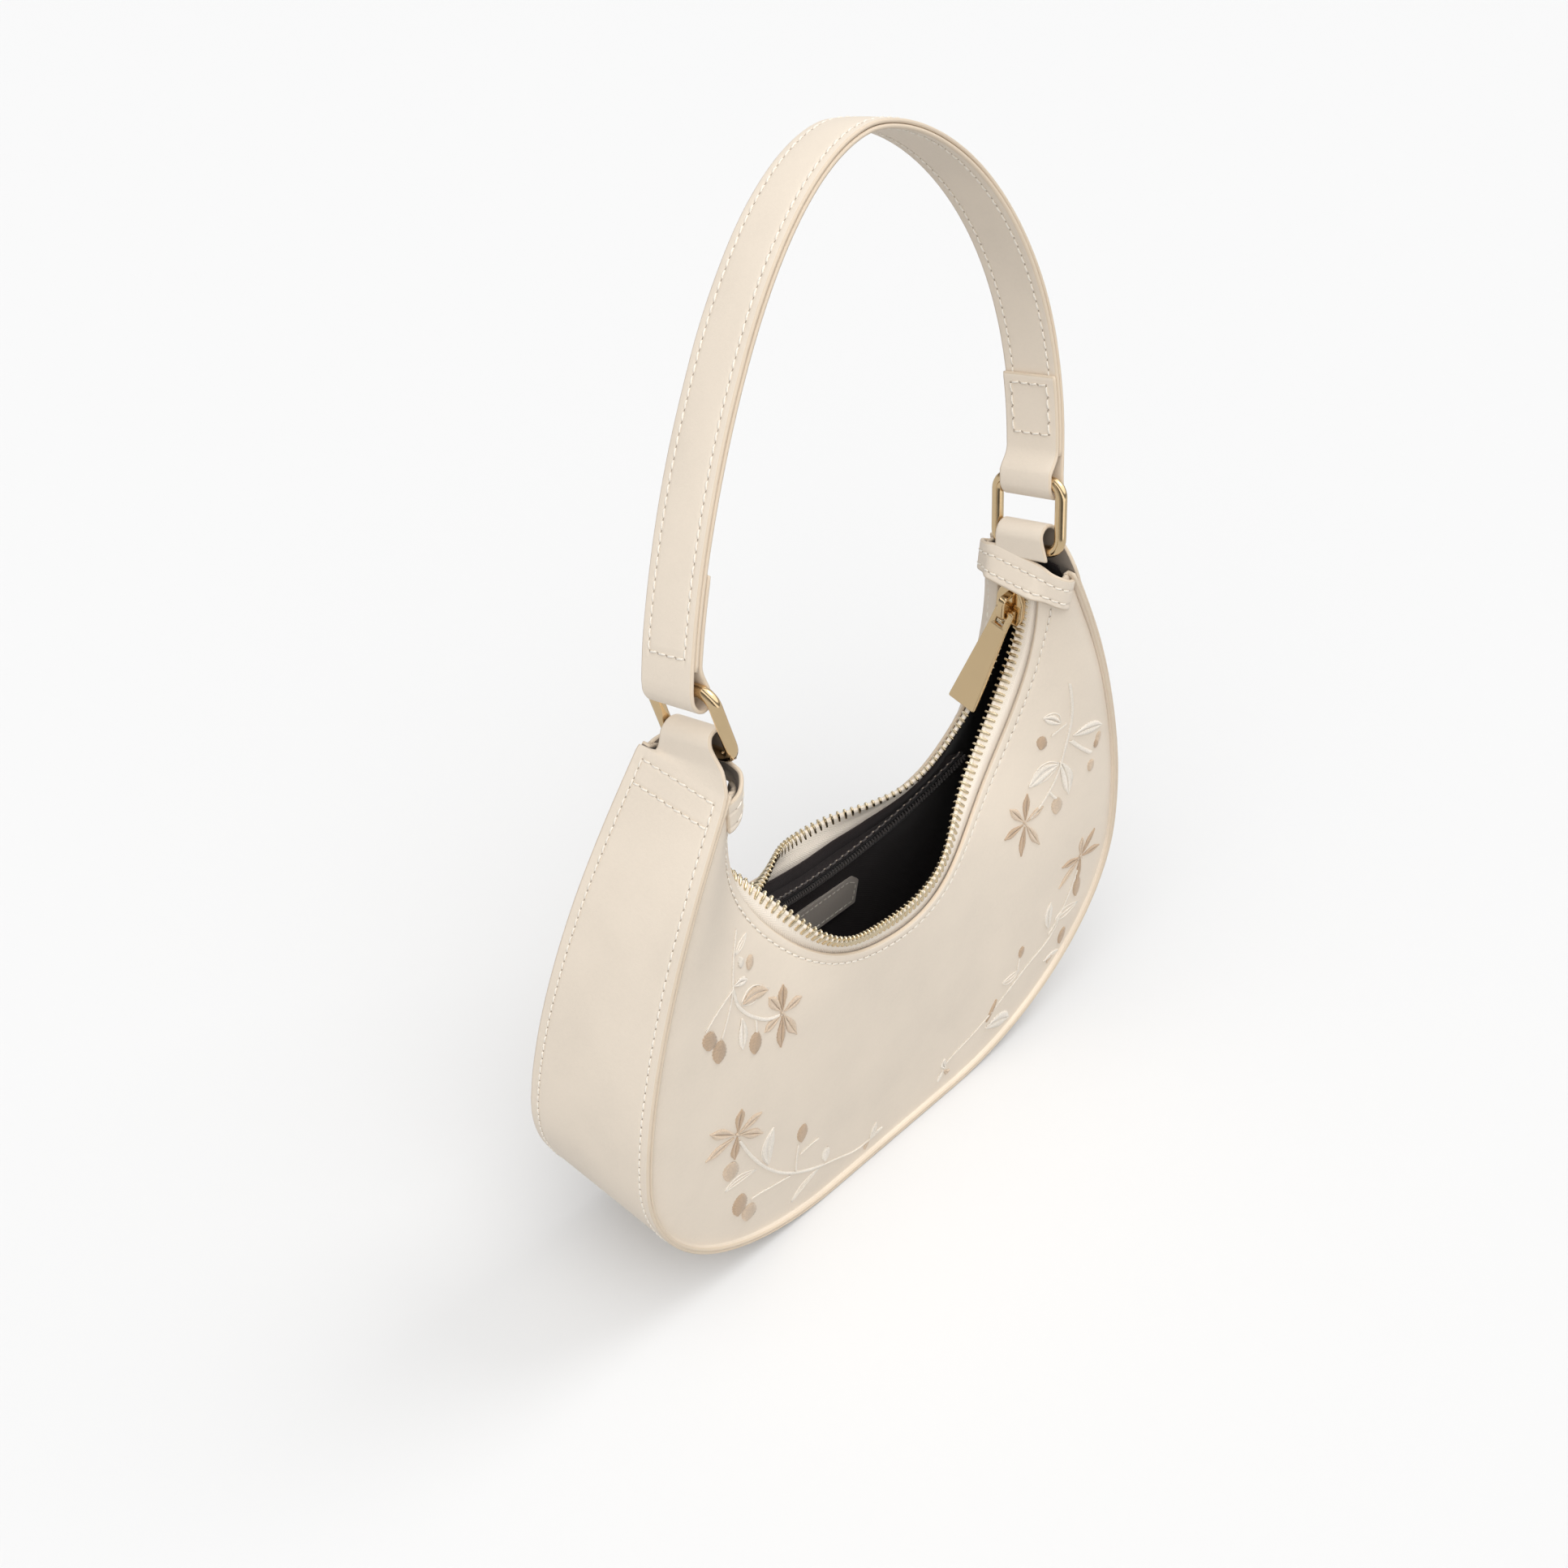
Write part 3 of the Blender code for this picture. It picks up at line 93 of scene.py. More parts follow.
HANDLE_RISE, HANDLE_SWEEP, HANDLE_SWEEP_TURN = 0.1293, 0.0185, math.radians(102)
HANDLE_HALF, FACING, BACKING = 0.0098, 0.0013, 0.0011
LOOP_RADIUS, LOOP_DROP, LOOP_STEM, FOLD_LENGTH, HANDLE_POWER = 0.0036, 0.0014, 0.0125, 0.034, 1.8
LOOP_WIDTH, LOOP_EASE, BACKING_START = 0.0080, 0.0090, 0.0075
POCKET_RADIUS, POCKET_HALF_ANGLE = ARC_RADIUS + 0.0125, math.radians(46)
POCKET_TAPE, COIL_RADIUS = 0.0005, 0.0012

# Thread and seams: a stitch row's distance from the edge, its dent and its height over the leather
STITCH_PITCH, STITCH_SHARE, STITCH_RADIUS, HOLE_SHADE_RADIUS = 0.0033, 0.80, 0.00034, 0.00030
EDGE_STITCH, STRAP_STITCH = 0.0032, 0.0026
SEAM_DENT, SEAM_LIFT, FOLD_SEAM_LIFT = 0.0003, 0.0001, 0.00012

SIDE_NAMES = {-1: "left", 1: "right"}
WALL_NAMES = {-1: "front", 1: "back"}

# Camera of the photograph, worked out from the bag's known points in it
PHOTO_SIZE, PHOTO_FOCAL = 1932, 2378.37
AZIMUTH, ELEVATION, ROLL = math.radians(49.02), math.radians(39.51), math.radians(2.91)
EYE = Vector((-0.3873, -0.3025, 0.5562))


def camera_axes():
    """Right, up and forward of the photograph's camera."""
    forward = Vector((
        math.sin(AZIMUTH) * math.cos(ELEVATION), math.cos(AZIMUTH) * math.cos(ELEVATION), -math.sin(ELEVATION)
    ))
    level = Vector((math.cos(AZIMUTH), -math.sin(AZIMUTH), 0.0))
    up = level.cross(forward)
    c, s = math.cos(ROLL), math.sin(ROLL)
    return level * c + up * s, up * c - level * s, forward


RIGHTWARD, UPWARD, FORWARD = camera_axes()


def put(name, data):
    """A new object in the scene."""
    made = bpy.data.objects.new(name, data)
    bpy.context.scene.collection.objects.link(made)
    return made


def add_camera():
    data = bpy.data.cameras.new("photo_camera")
    data.sensor_width = 36.0
    data.lens = PHOTO_FOCAL / PHOTO_SIZE * 36.0
    data.clip_start, data.clip_end = 0.01, 50.0
    camera = put("photo_camera", data)
    place = Matrix((RIGHTWARD, UPWARD, -FORWARD)).transposed().to_4x4()
    place.translation = EYE
    camera.matrix_world = place
    bpy.context.scene.camera = camera


def sight(x, y):
    """The direction from the camera through a pixel of the photograph."""
    centre = PHOTO_SIZE / 2
    across, down = (x - centre) / PHOTO_FOCAL, (y - centre) / PHOTO_FOCAL
    return (FORWARD + RIGHTWARD * across - UPWARD * down).normalized()


# Materials

def linear(*colour):
    """A colour read off the photograph, 0 to 255, as the shader wants it."""
    parts = [c / 255 for c in colour]
    return tuple(c / 12.92 if c <= 0.04045 else ((c + 0.055) / 1.055) ** 2.4 for c in parts) + (1.0,)


class Nodes:
    """Shorthand for the nodes of a material or of the world."""

    def __init__(self, tree):
        self.tree = tree

    def node(self, kind, values=(), **settings):
        made = self.tree.nodes.new(kind)
        for key, value in settings.items():
            setattr(made, key, value)
        for socket, value in dict(values).items():
            if isinstance(value, bpy.types.NodeSocket):
                self.tree.links.new(value, made.inputs[socket])
            else:
                made.inputs[socket].default_value = value
        return made

    def math(self, operation, a, b=0.0):
        return self.node("ShaderNodeMath", {0: a, 1: b}, operation=operation).outputs[0]

    def ramp(self, factor, stops):
        made = self.node("ShaderNodeValToRGB", {"Fac": factor})
        elements = made.color_ramp.elements
        while len(elements) < len(stops):
            elements.new(0.5)
        for element, (position, colour) in zip(elements, stops):
            element.position = position
            element.color = colour
        return made.outputs["Color"]


class Finish(Nodes):
    """A procedural material."""

    def __init__(self, name, colour, roughness, metallic=0.0, sheen=0.0, specular=0.5):
        self.material = bpy.data.materials.new(name)
        self.material.use_nodes = True
        super().__init__(self.material.node_tree)
        self.shader = self.tree.nodes["Principled BSDF"]
        for socket, value in (
            ("Base Color", colour), ("Roughness", roughness), ("Metallic", metallic), ("Sheen Weight", sheen),
            ("Sheen Roughness", 0.5), ("Coat Weight", 0.0), ("Coat Roughness", 0.1),
            ("Specular IOR Level", specular),
        ):
            self.shader.inputs[socket].default_value = value

    def place(self, uv=False):
        return self.node("ShaderNodeTexCoord").outputs["UV" if uv else "Object"]

    def cloud(self, place, size, detail=3.0, rough=0.5):
        """Soft noise with features about size metres wide, from 0 to 1."""
        values = {"Vector": place, "Scale": 1.0 / size, "Detail": detail, "Roughness": rough}
        return self.node("ShaderNodeTexNoise", values).outputs["Fac"]

    def mix(self, a, b, share):
        """Two values by a share of the first one."""
        return self.math("ADD", self.math("MULTIPLY", a, share), self.math("MULTIPLY", b, 1 - share))

    def wave(self, run, pitch):
        return self.math("SINE", self.math("MULTIPLY", run, 2 * math.pi / pitch))

    def halved(self, wave):
        """A wave from -1 to 1 as a value from 0 to 1."""
        return self.node("ShaderNodeMath", {0: wave, 1: 0.5, 2: 0.5}, operation="MULTIPLY_ADD").outputs[0]

    def remap(self, value, low, high, to_low, to_high):
        values = {"Value": value, "From Min": low, "From Max": high, "To Min": to_low, "To Max": to_high}
        return self.node("ShaderNodeMapRange", values).outputs["Result"]

    def paint(self, socket, value):
        self.tree.links.new(value, self.shader.inputs[socket])

    def bump(self, height, depth, strength=1.0, before=None):
        values = {"Height": height, "Distance": depth, "Strength": strength}
        if before is not None:
            values["Normal"] = before
        made = self.node("ShaderNodeBump", values).outputs["Normal"]
        self.paint("Normal", made)
        return made


def shade(colour, factor):
    return tuple(c * factor for c in colour[:3]) + (1.0,)


def nubuck(name, colour, edge=False):
    """Buffed leather: fine nap, faint cloudiness and rubbed patches."""
    made = Finish(name, colour, 0.72, sheen=0.12, specular=0.3)
    place = made.place()
    cloud = made.cloud(place, size=0.030, detail=4.0)
    fine = made.cloud(place, size=0.0011, rough=0.6)
    spread, smooth, rough, grain = (0.03, 0.42, 0.52, 0.25) if edge else (0.05, 0.64, 0.80, 0.55)
    made.paint("Base Color", made.ramp(made.mix(cloud, fine, 0.75), (
        (0.30, shade(colour, 1 - spread)), (0.50, colour), (0.72, shade(colour, 1 + spread * 0.8)),
    )))
    made.paint("Roughness", made.remap(cloud, 0.3, 0.7, smooth, rough))
    grain = made.bump(fine, 0.00010, grain)
    made.bump(made.cloud(place, 0.00042, 2.0), 0.00005, 0.5, grain)
    return made.material


def woven(name, colour, pitch, depth, roughness=0.9):
    """Plain weave along the sheet's own directions."""
    made = Finish(name, colour, roughness, sheen=0.1, specular=0.3)
    parts = made.node("ShaderNodeSeparateXYZ", {"Vector": made.place(uv=True)})
    weave = made.halved(made.math("MULTIPLY", *(made.wave(parts.outputs[axis], pitch) for axis in "XY")))
    both = made.mix(weave, made.cloud(made.place(), 0.008), 0.6)
    made.paint("Base Color", made.ramp(both, ((0.2, shade(colour, 0.75)), (0.8, shade(colour, 1.35)))))
    made.bump(weave, depth, 0.7)
    return made.material


def herringbone(name, colour, rib, turn):
    """Woven zip tape: slanting ribs that turn back and forth across its width."""
    made = Finish(name, colour, 0.85, sheen=0.15, specular=0.25)
    parts = made.node("ShaderNodeSeparateXYZ", {"Vector": made.place(uv=True)})
    zig = made.math("PINGPONG", parts.outputs["Y"], turn)
    slanted = made.math("ADD", parts.outputs["X"], made.math("MULTIPLY", zig, 1.3))
    ribs = made.halved(made.wave(slanted, rib))
    made.paint("Base Color", made.ramp(ribs, (
        (0.0, shade(colour, 0.90)), (0.7, colour), (1.0, shade(colour, 1.02)),
    )))
    made.bump(ribs, 0.00012, 0.6)
    return made.material


def thread(name, colour, shine=0.25):
    """Twisted filament thread, with a soft sheen."""
    made = Finish(name, colour, 0.5, sheen=shine, specular=0.45)
    fibre = made.cloud(made.place(), 0.0005, 2.0)
    made.paint("Base Color", made.ramp(fibre, ((0.3, shade(colour, 0.88)), (0.7, shade(colour, 1.06)))))
    made.bump(fibre, 0.00006, 0.5)
    return made.material


def metal(name, colour, roughness):
    """Polished plate with faint rub marks."""
    made = Finish(name, colour, roughness, metallic=1.0)
    place = made.place()
    marks = made.cloud(place, size=0.006, detail=4.0, rough=0.6)
    made.paint("Roughness", made.remap(marks, 0.35, 0.7, roughness * 0.75, roughness * 1.5))
    made.paint("Base Color", made.ramp(marks, ((0.3, shade(colour, 0.96)), (0.7, shade(colour, 1.02)))))
    made.bump(made.cloud(place, 0.0025, 2.0), 0.00002, 0.25)
    return made.material


CREAM = nubuck("cream_nubuck", linear(234, 221, 204))
EDGE = nubuck("painted_edge", linear(222, 205, 183), edge=True)
SUEDE = nubuck("grey_suede_back", linear(150, 140, 130))
THREAD = thread("cream_thread", linear(243, 235, 222))
# Painted shade: a darker cream for the small disks that stand in for the shade inside each stitch's needle
# hole
STITCH_HOLE_SHADE = Finish("stitch_hole_painted_shade", linear(186, 172, 155), roughness=0.9).material
PALE_SILK = thread("pale_embroidery", linear(241, 232, 219), shine=0.4)
TAN_SILK = thread("tan_embroidery", linear(202, 176, 148), shine=0.35)
LIGHT_SILK = thread("light_tan_embroidery", linear(221, 200, 176), shine=0.35)
TAPE_CLOTH = herringbone("cream_zip_tape", linear(250, 239, 224), rib=0.0010, turn=0.0018)
BLACK_CLOTH = woven("black_lining", linear(47, 39, 39), pitch=0.0009, depth=0.00012)
BLACK_TAPE = woven("black_pocket_tape", linear(40, 34, 34), pitch=0.0007, depth=0.0001, roughness=0.75)
BLACK_COIL = thread("black_coil", linear(74, 68, 66), shine=0.2)
GOLD = metal("pale_gold", (0.84, 0.63, 0.37, 1.0), roughness=0.12)
TEETH_GOLD = metal("pale_gold_teeth", (0.84, 0.71, 0.49, 1.0), roughness=0.22)
BLACK_METAL = metal("black_enamel", (0.02, 0.02, 0.02, 1.0), roughness=0.3)
BOARD = nubuck("fibre_board", linear(160, 138, 112))
LABEL = nubuck("label_leather", linear(198, 188, 178))

# Finishes of a sheet's face, edges and back
SHELL = (CREAM, EDGE, SUEDE)
STRAP = (CREAM, EDGE, CREAM)


# Meshes

def turn_out(mesh, merge=0.0):
    """Turns all faces outward, after points closer than merge have become one."""
    shape = bmesh.new()
    shape.from_mesh(mesh)
    if merge:
        bmesh.ops.remove_doubles(shape, verts=shape.verts, dist=merge)
    bmesh.ops.recalc_face_normals(shape, faces=shape.faces)
    shape.to_mesh(mesh)
    shape.free()
    mesh.shade_smooth()


def add_mesh(name, points, faces, finishes, slots=None, uvs=None):
    """A closed shape as a smooth object; slots gives each face's finish."""
    mesh = bpy.data.meshes.new(name)
    mesh.from_pydata([tuple(p) for p in points], [], faces)
    for finish in finishes:
        mesh.materials.append(finish)
    if slots is not None:
        mesh.polygons.foreach_set("material_index", slots)
    if uvs is not None:
        layer = mesh.uv_layers.new(name="UVMap")
        index = np.empty(len(mesh.loops), int)
        mesh.loops.foreach_get("vertex_index", index)
        layer.data.foreach_set("uv", np.asarray(uvs, float)[index].ravel())
    turn_out(mesh)
    return put(name, mesh)


def unit(vectors):
    return vectors / np.maximum(np.linalg.norm(vectors, axis=-1, keepdims=True), 1e-12)


def grid_normals(grid, row, column, facing):
    """A grid's normals, turned so that the one at row and column looks about where facing says."""
    normal = unit(np.cross(np.gradient(grid, axis=1), np.gradient(grid, axis=0)))
    return -normal if normal[row, column] @ np.asarray(facing, float) < 0 else normal


def ease(share):
    """A share from 0 to 1 that starts and ends softly."""
    return share * share * (3 - 2 * share)


def lengths(path):
    """The run from the first point to each point of a path."""
    return np.concatenate([[0.0], np.cumsum(np.linalg.norm(np.diff(path, axis=0), axis=1))])


def skin(name, grid, thickness, facing, finishes, steps=4):
    """A sheet whose seen face is the grid, with the thickness behind it and rounded edges.

    facing is about where the seen face looks at the grid's middle; finishes are those of the face,
    the edges and the back."""
    seen = np.asarray(grid, float)
    rows, cols = seen.shape[:2]
    normal = grid_normals(seen, rows // 2, cols // 2, facing)
    back = seen - normal * thickness
    index = np.arange(rows * cols).reshape(rows, cols)
    border = [*index[0], *index[1:, -1], *index[-1, -2::-1], *index[-2:0:-1, 0]]
    out = np.zeros_like(seen)
    out[0] += unit(seen[0] - seen[1])
    out[-1] += unit(seen[-1] - seen[-2])
    out[:, 0] += unit(seen[:, 0] - seen[:, 1])
    out[:, -1] += unit(seen[:, -1] - seen[:, -2])
    flat, facing_out, seen_flat = normal.reshape(-1, 3), unit(out.reshape(-1, 3)), seen.reshape(-1, 3)
    points = [seen_flat, back.reshape(-1, 3)]
    middle = seen_flat[border] - flat[border] * thickness / 2
    for k in range(1, steps):
        turn = math.pi * k / steps
        round_edge = flat[border] * math.cos(turn) + facing_out[border] * math.sin(turn)
        points.append(middle + round_edge * thickness / 2)
    count, total = len(border), rows * cols
    quads = np.stack([index[:-1, :-1], index[:-1, 1:], index[1:, 1:], index[1:, :-1]], -1).reshape(-1, 4)
    faces = [tuple(q) for q in quads] + [tuple(q[::-1] + total) for q in quads]
    slots = [0] * len(quads) + [2] * len(quads)
    ladder = [border] + [[2 * total + (k - 1) * count + j for j in range(count)] for k in range(1, steps)]
    ladder.append([b + total for b in border])
    for near, far in zip(ladder, ladder[1:]):
        for j in range(count):
            faces.append((near[j], near[(j + 1) % count], far[(j + 1) % count], far[j]))
            slots.append(1)
    u = np.tile(lengths(seen[rows // 2]), (rows, 1))
    v = np.tile(lengths(seen[:, cols // 2])[:, None], (1, cols))
    uv = np.stack([u, v], -1).reshape(-1, 2)
    uvs = np.concatenate([uv, uv] + [uv[border]] * (steps - 1))
    return add_mesh(name, np.concatenate(points), faces, finishes, slots, uvs)


class Batch:
    """Many small closed shapes that become one object."""

    def __init__(self):
        self.points, self.faces = [], []

    def loft(self, sections):
        """A closed shape through closed sections."""
        base, count = len(self.points), len(sections[0])
        for section in sections:
            self.points.extend(section)
        for k in range(len(sections) - 1):
            low = base + k * count
            for j in range(count):
                nxt = (j + 1) % count
                self.faces.append((low + j, low + nxt, low + count + nxt, low + count + j))
        self.faces.append(tuple(range(base, base + count)))
        last = base + (len(sections) - 1) * count
        self.faces.append(tuple(range(last + count - 1, last - 1, -1)))

    def tube(self, path, radii, side=(0, 0, 1), sides=6, flat=1.0):
        """A round wire along a path; side is any direction off the path, flat squeezes it across side."""
        path = np.asarray(path, float)
        run = unit(np.gradient(path, axis=0))
        side = np.broadcast_to(np.asarray(side, float), path.shape)
        across = unit(np.cross(run, side))
        up = np.cross(across, run)
        turns = (2 * math.pi * np.arange(sides) / sides)[None, :, None]
        ring = across[:, None] * np.cos(turns) + up[:, None] * (np.sin(turns) * flat)
        self.loft(list(path[:, None] + ring * np.broadcast_to(radii, len(path))[:, None, None]))

    def ring(self, path, radius, sides=18):
        """A closed round wire through a closed flat path."""
        path = np.asarray(path, float)
        run = unit(np.roll(path, -1, 0) - np.roll(path, 1, 0))
        normal = unit(np.cross(path[1] - path[0], path[len(path) // 3] - path[0]))
        across = np.cross(run, normal)
        turns = (2 * math.pi * np.arange(sides) / sides)[:, None]
        base = len(self.points)
        for point, side in zip(path, across):
            self.points.extend(point + (side * np.cos(turns) + normal * np.sin(turns)) * radius)
        count = len(path)
        for k in range(count):
            for j in range(sides):
                a, b = base + k * sides, base + (k + 1) % count * sides
                self.faces.append((a + j, a + (j + 1) % sides, b + (j + 1) % sides, b + j))

    def make(self, name, finish, body):
        made = add_mesh(name, self.points, self.faces, [finish])
        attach(made, body)
        return made


class Sewing(Batch):
    """Rows of stitches, and at both ends of each a small disk painted darker as the shade inside its needle
    hole.
    """

    def __init__(self):
        super().__init__()
        self.painted_hole_shades = Batch()

    def sew(self, grid, normal, rows, columns, lift=SEAM_LIFT):
        """A row of stitches over part of a grid."""
        stitches(self, grid[rows, columns] + normal[rows, columns] * lift, normal[rows, columns])

    def make(self, name, finish, body):
        self.painted_hole_shades.make(name + "_painted_hole_shades", STITCH_HOLE_SHADE, body)
        return super().make(name, finish, body)


def resample(path, count=None, step=None):
    path = np.asarray(path, float)
    run = lengths(path)
    count = count or max(int(round(run[-1] / step)) + 1, 2)
    wanted = np.linspace(0, run[-1], count)
    return np.stack([np.interp(wanted, run, path[:, k]) for k in range(path.shape[1])], 1)


def cut_corners(points, rounds):
    """Softens a bent path; its points may also be whole rows of points."""
    path = np.asarray(points, float)
    for _ in range(rounds):
        cut = np.empty((2 * len(path) - 2,) + path.shape[1:])
        cut[0::2] = path[:-1] * 0.75 + path[1:] * 0.25
        cut[1::2] = path[:-1] * 0.25 + path[1:] * 0.75
        path = np.concatenate([path[:1], cut, path[-1:]])
    return path


def smooth_path(points, count):
    """A soft curve near the points of a bent path, in even steps."""
    return resample(cut_corners(points, 3), count)


def rounded(half_x, half_y, corner, steps=4):
    """A rounded rectangle as points about the origin."""
    points = []
    for sx, sy, start in ((1, 1, 0.0), (-1, 1, 0.5), (-1, -1, 1.0), (1, -1, 1.5)):
        x, y = sx * (half_x - corner), sy * (half_y - corner)
        for turn in np.linspace(start, start + 0.5, steps) * math.pi:
            points.append((x + corner * math.cos(turn), y + corner * math.sin(turn)))
    return points


def stitches(batch, path, normals, pitch=STITCH_PITCH, radius=STITCH_RADIUS, slant=0.10):
    """Lock stitches along a path: each dips into the leather at both ends and slants a little."""
    both = np.concatenate([np.asarray(path, float), np.asarray(normals, float)], 1)
    run = lengths(both[:, :3])
    count = max(int(run[-1] / pitch), 1)
    step = run[-1] / count
    shares = np.array([0.0, 0.18, 0.5, 0.82, 1.0])
    for k in range(count):
        places = step * (k + (1 - STITCH_SHARE) / 2) + shares * step * STITCH_SHARE
        at = np.stack([np.interp(places, run, both[:, c]) for c in range(6)], 1)
        normal = unit(at[:, 3:])
        across = unit(np.cross(normal, np.gradient(at[:, :3], axis=0)))
        wobble = 0.04 * math.sin(k * 2.4)
        lift = np.array([-1.1, 0.25, 0.55, 0.25, -1.1])[:, None] * radius
        aside = (shares - 0.5)[:, None] * step * STITCH_SHARE * (slant + wobble)
        thread_path = at[:, :3] + normal * lift + across * aside
        batch.tube(thread_path, np.array([0.7, 1.0, 1.0, 1.0, 0.7]) * radius, normal, sides=6)
        run_on = unit(thread_path[-1] - thread_path[0]) * radius * 0.45
        # At each end a small disk in the painted hole shade, standing in for the shade inside the needle hole
        for end, shift in ((0, -run_on), (-1, run_on)):
            middle = at[end, :3] + across[end] * aside[end] + shift
            hole_shade = [middle + normal[end] * height for height in (-0.0003, -0.00002)]
            batch.painted_hole_shades.tube(hole_shade, HOLE_SHADE_RADIUS, across[end], sides=7)


# The body's surfaces, as in the part's source but as fine as wanted

def half_outline():
    flat = [(FLAT_HALF * k / 8, 0.0) for k in range(8)]
    turns = np.linspace(0, math.pi / 2, 61)[:-1]
    lower = [
        (FLAT_HALF + (HALF_WIDTH - FLAT_HALF) * math.sin(t), WIDEST_HEIGHT * (1 - math.cos(t))) for t in turns
    ]
    rise = SHOULDER_HEIGHT - WIDEST_HEIGHT
    upper = [
        (HALF_WIDTH - SHOULDER_INSET * share ** UPPER_CURVE_POWER, WIDEST_HEIGHT + rise * share)
        for share in np.linspace(0, 1, 56)
    ]
    return np.array(flat + lower + upper)


RIGHT_HALF = half_outline()
OUTLINE = np.concatenate([RIGHT_HALF[:0:-1] * [-1, 1], RIGHT_HALF])
RUN = lengths(OUTLINE)
TOTAL_RUN = RUN[-1]
RUN = RUN / TOTAL_RUN
TANGENT = unit(np.gradient(OUTLINE, RUN, axis=0))
COLUMNS = (OUTLINE[:, 0], OUTLINE[:, 1], TANGENT[:, 1], -TANGENT[:, 0])


def outline(share):
    """x, z and the outward direction at a share of the run from the left shoulder to the right one."""
    return [np.interp(share, RUN, column) for column in COLUMNS]


def half_depth(z):
    share = np.clip(z / SHOULDER_HEIGHT, 0, 1)
    straight = BOTTOM_HALF_DEPTH + (SHOULDER_HALF_DEPTH - BOTTOM_HALF_DEPTH) * share
    return straight + DEPTH_SWELL * 4 * share * (1 - share)


def closing(angle, side):
    """How far the back panel is turned over towards the zip's closed end, from 0 to 1."""
    share = np.clip((angle - BACK_CLOSING_FROM) / (BACK_CLOSING_TO - BACK_CLOSING_FROM), 0, 1)
    return (side > 0) * ease(share)


def mouth_half(angle, side):
    bulge, centre, reach = FRONT_BULGE if side < 0 else BACK_BULGE
    bulge = bulge * 0.5 ** (np.abs((angle - centre) / reach) ** 3)
    return EDGE_HALF_GAP + bulge - BACK_CLOSING * closing(angle, side)


def arc(angle, radius, y):
    return np.stack(np.broadcast_arrays(radius * np.sin(angle), y, ARC_HEIGHT - radius * np.cos(angle)), -1)


def mouth_angle(share):
    return -TIP_ANGLE + 2 * TIP_ANGLE * share


def within(run, inset, y):
    """The outline moved inward by inset, at depth y."""
    x, z, out_x, out_z = outline(run)
    return np.stack(np.broadcast_arrays(x - out_x * inset, y, z - out_z * inset), -1)


def face(run, share, side):
    """The panel's inner surface at a share of the outline's run, from its seam at 0 to the mouth at 1."""
    run, share = np.broadcast_arrays(run, share)
    seam = within(run, SEAM_INSET, 0.0)
    edge = arc(mouth_angle(run), ARC_RADIUS, 0.0)
    low = half_depth(seam[..., 2]) - RIM_HEIGHT - PANEL
    high = mouth_half(mouth_angle(run), side)
    power = DRAW_IN_POWER + (BACK_TURN_POWER - DRAW_IN_POWER) * closing(mouth_angle(run), side)
    depth = low + (high - low) * np.maximum(share, 0) ** power + PANEL_CROWN * 4 * share * (1 - share)
    point = seam + (edge - seam) * share[..., None]
    point[..., 1] = side * depth
    return point


def face_out(run, share, side):
    """The outward normal of the panel there."""
    run, share = np.broadcast_arrays(run, share)
    along = face(np.minimum(run + 0.004, 1), share, side) - face(np.maximum(run - 0.004, 0), share, side)
    across = face(run, np.minimum(share + 0.02, 1), side) - face(run, np.maximum(share - 0.02, 0), side)
    normal = unit(np.cross(along, across))
    return normal * np.sign(normal[..., 1:2] * side)


def panel_width(run):
    """The length across the panel from its seam to the mouth."""
    return np.linalg.norm((face(run, 1.0, 1) - face(run, 0.0, 1))[..., ::2], axis=-1)


def ripple(points, size, height, seed=0.0):
    """Slight unevenness of soft leather, as an offset for each point."""
    flat = points.reshape(-1, 3)
    values = [noise.noise(Vector((p[0] / size + seed, p[1] / size, p[2] / size))) for p in flat]
    return (np.array(values) * height).reshape(points.shape[:-1] + (1,))


def groove(distance, at, depth, width=0.00045):
    """The dent that a row of stitches pulls into the leather."""
    return depth * np.exp(-((distance - at) / width) ** 2)


FINE_RUN = np.linspace(0, 1, 301)
RIM_GAP = 0.0007
MOUTH_ROWS = (0.0048, 0.0041, 0.0037, 0.0034, 0.0032, 0.0030, 0.0027, 0.0022, 0.0015, 0.0009, 0.0005, 0.0002)


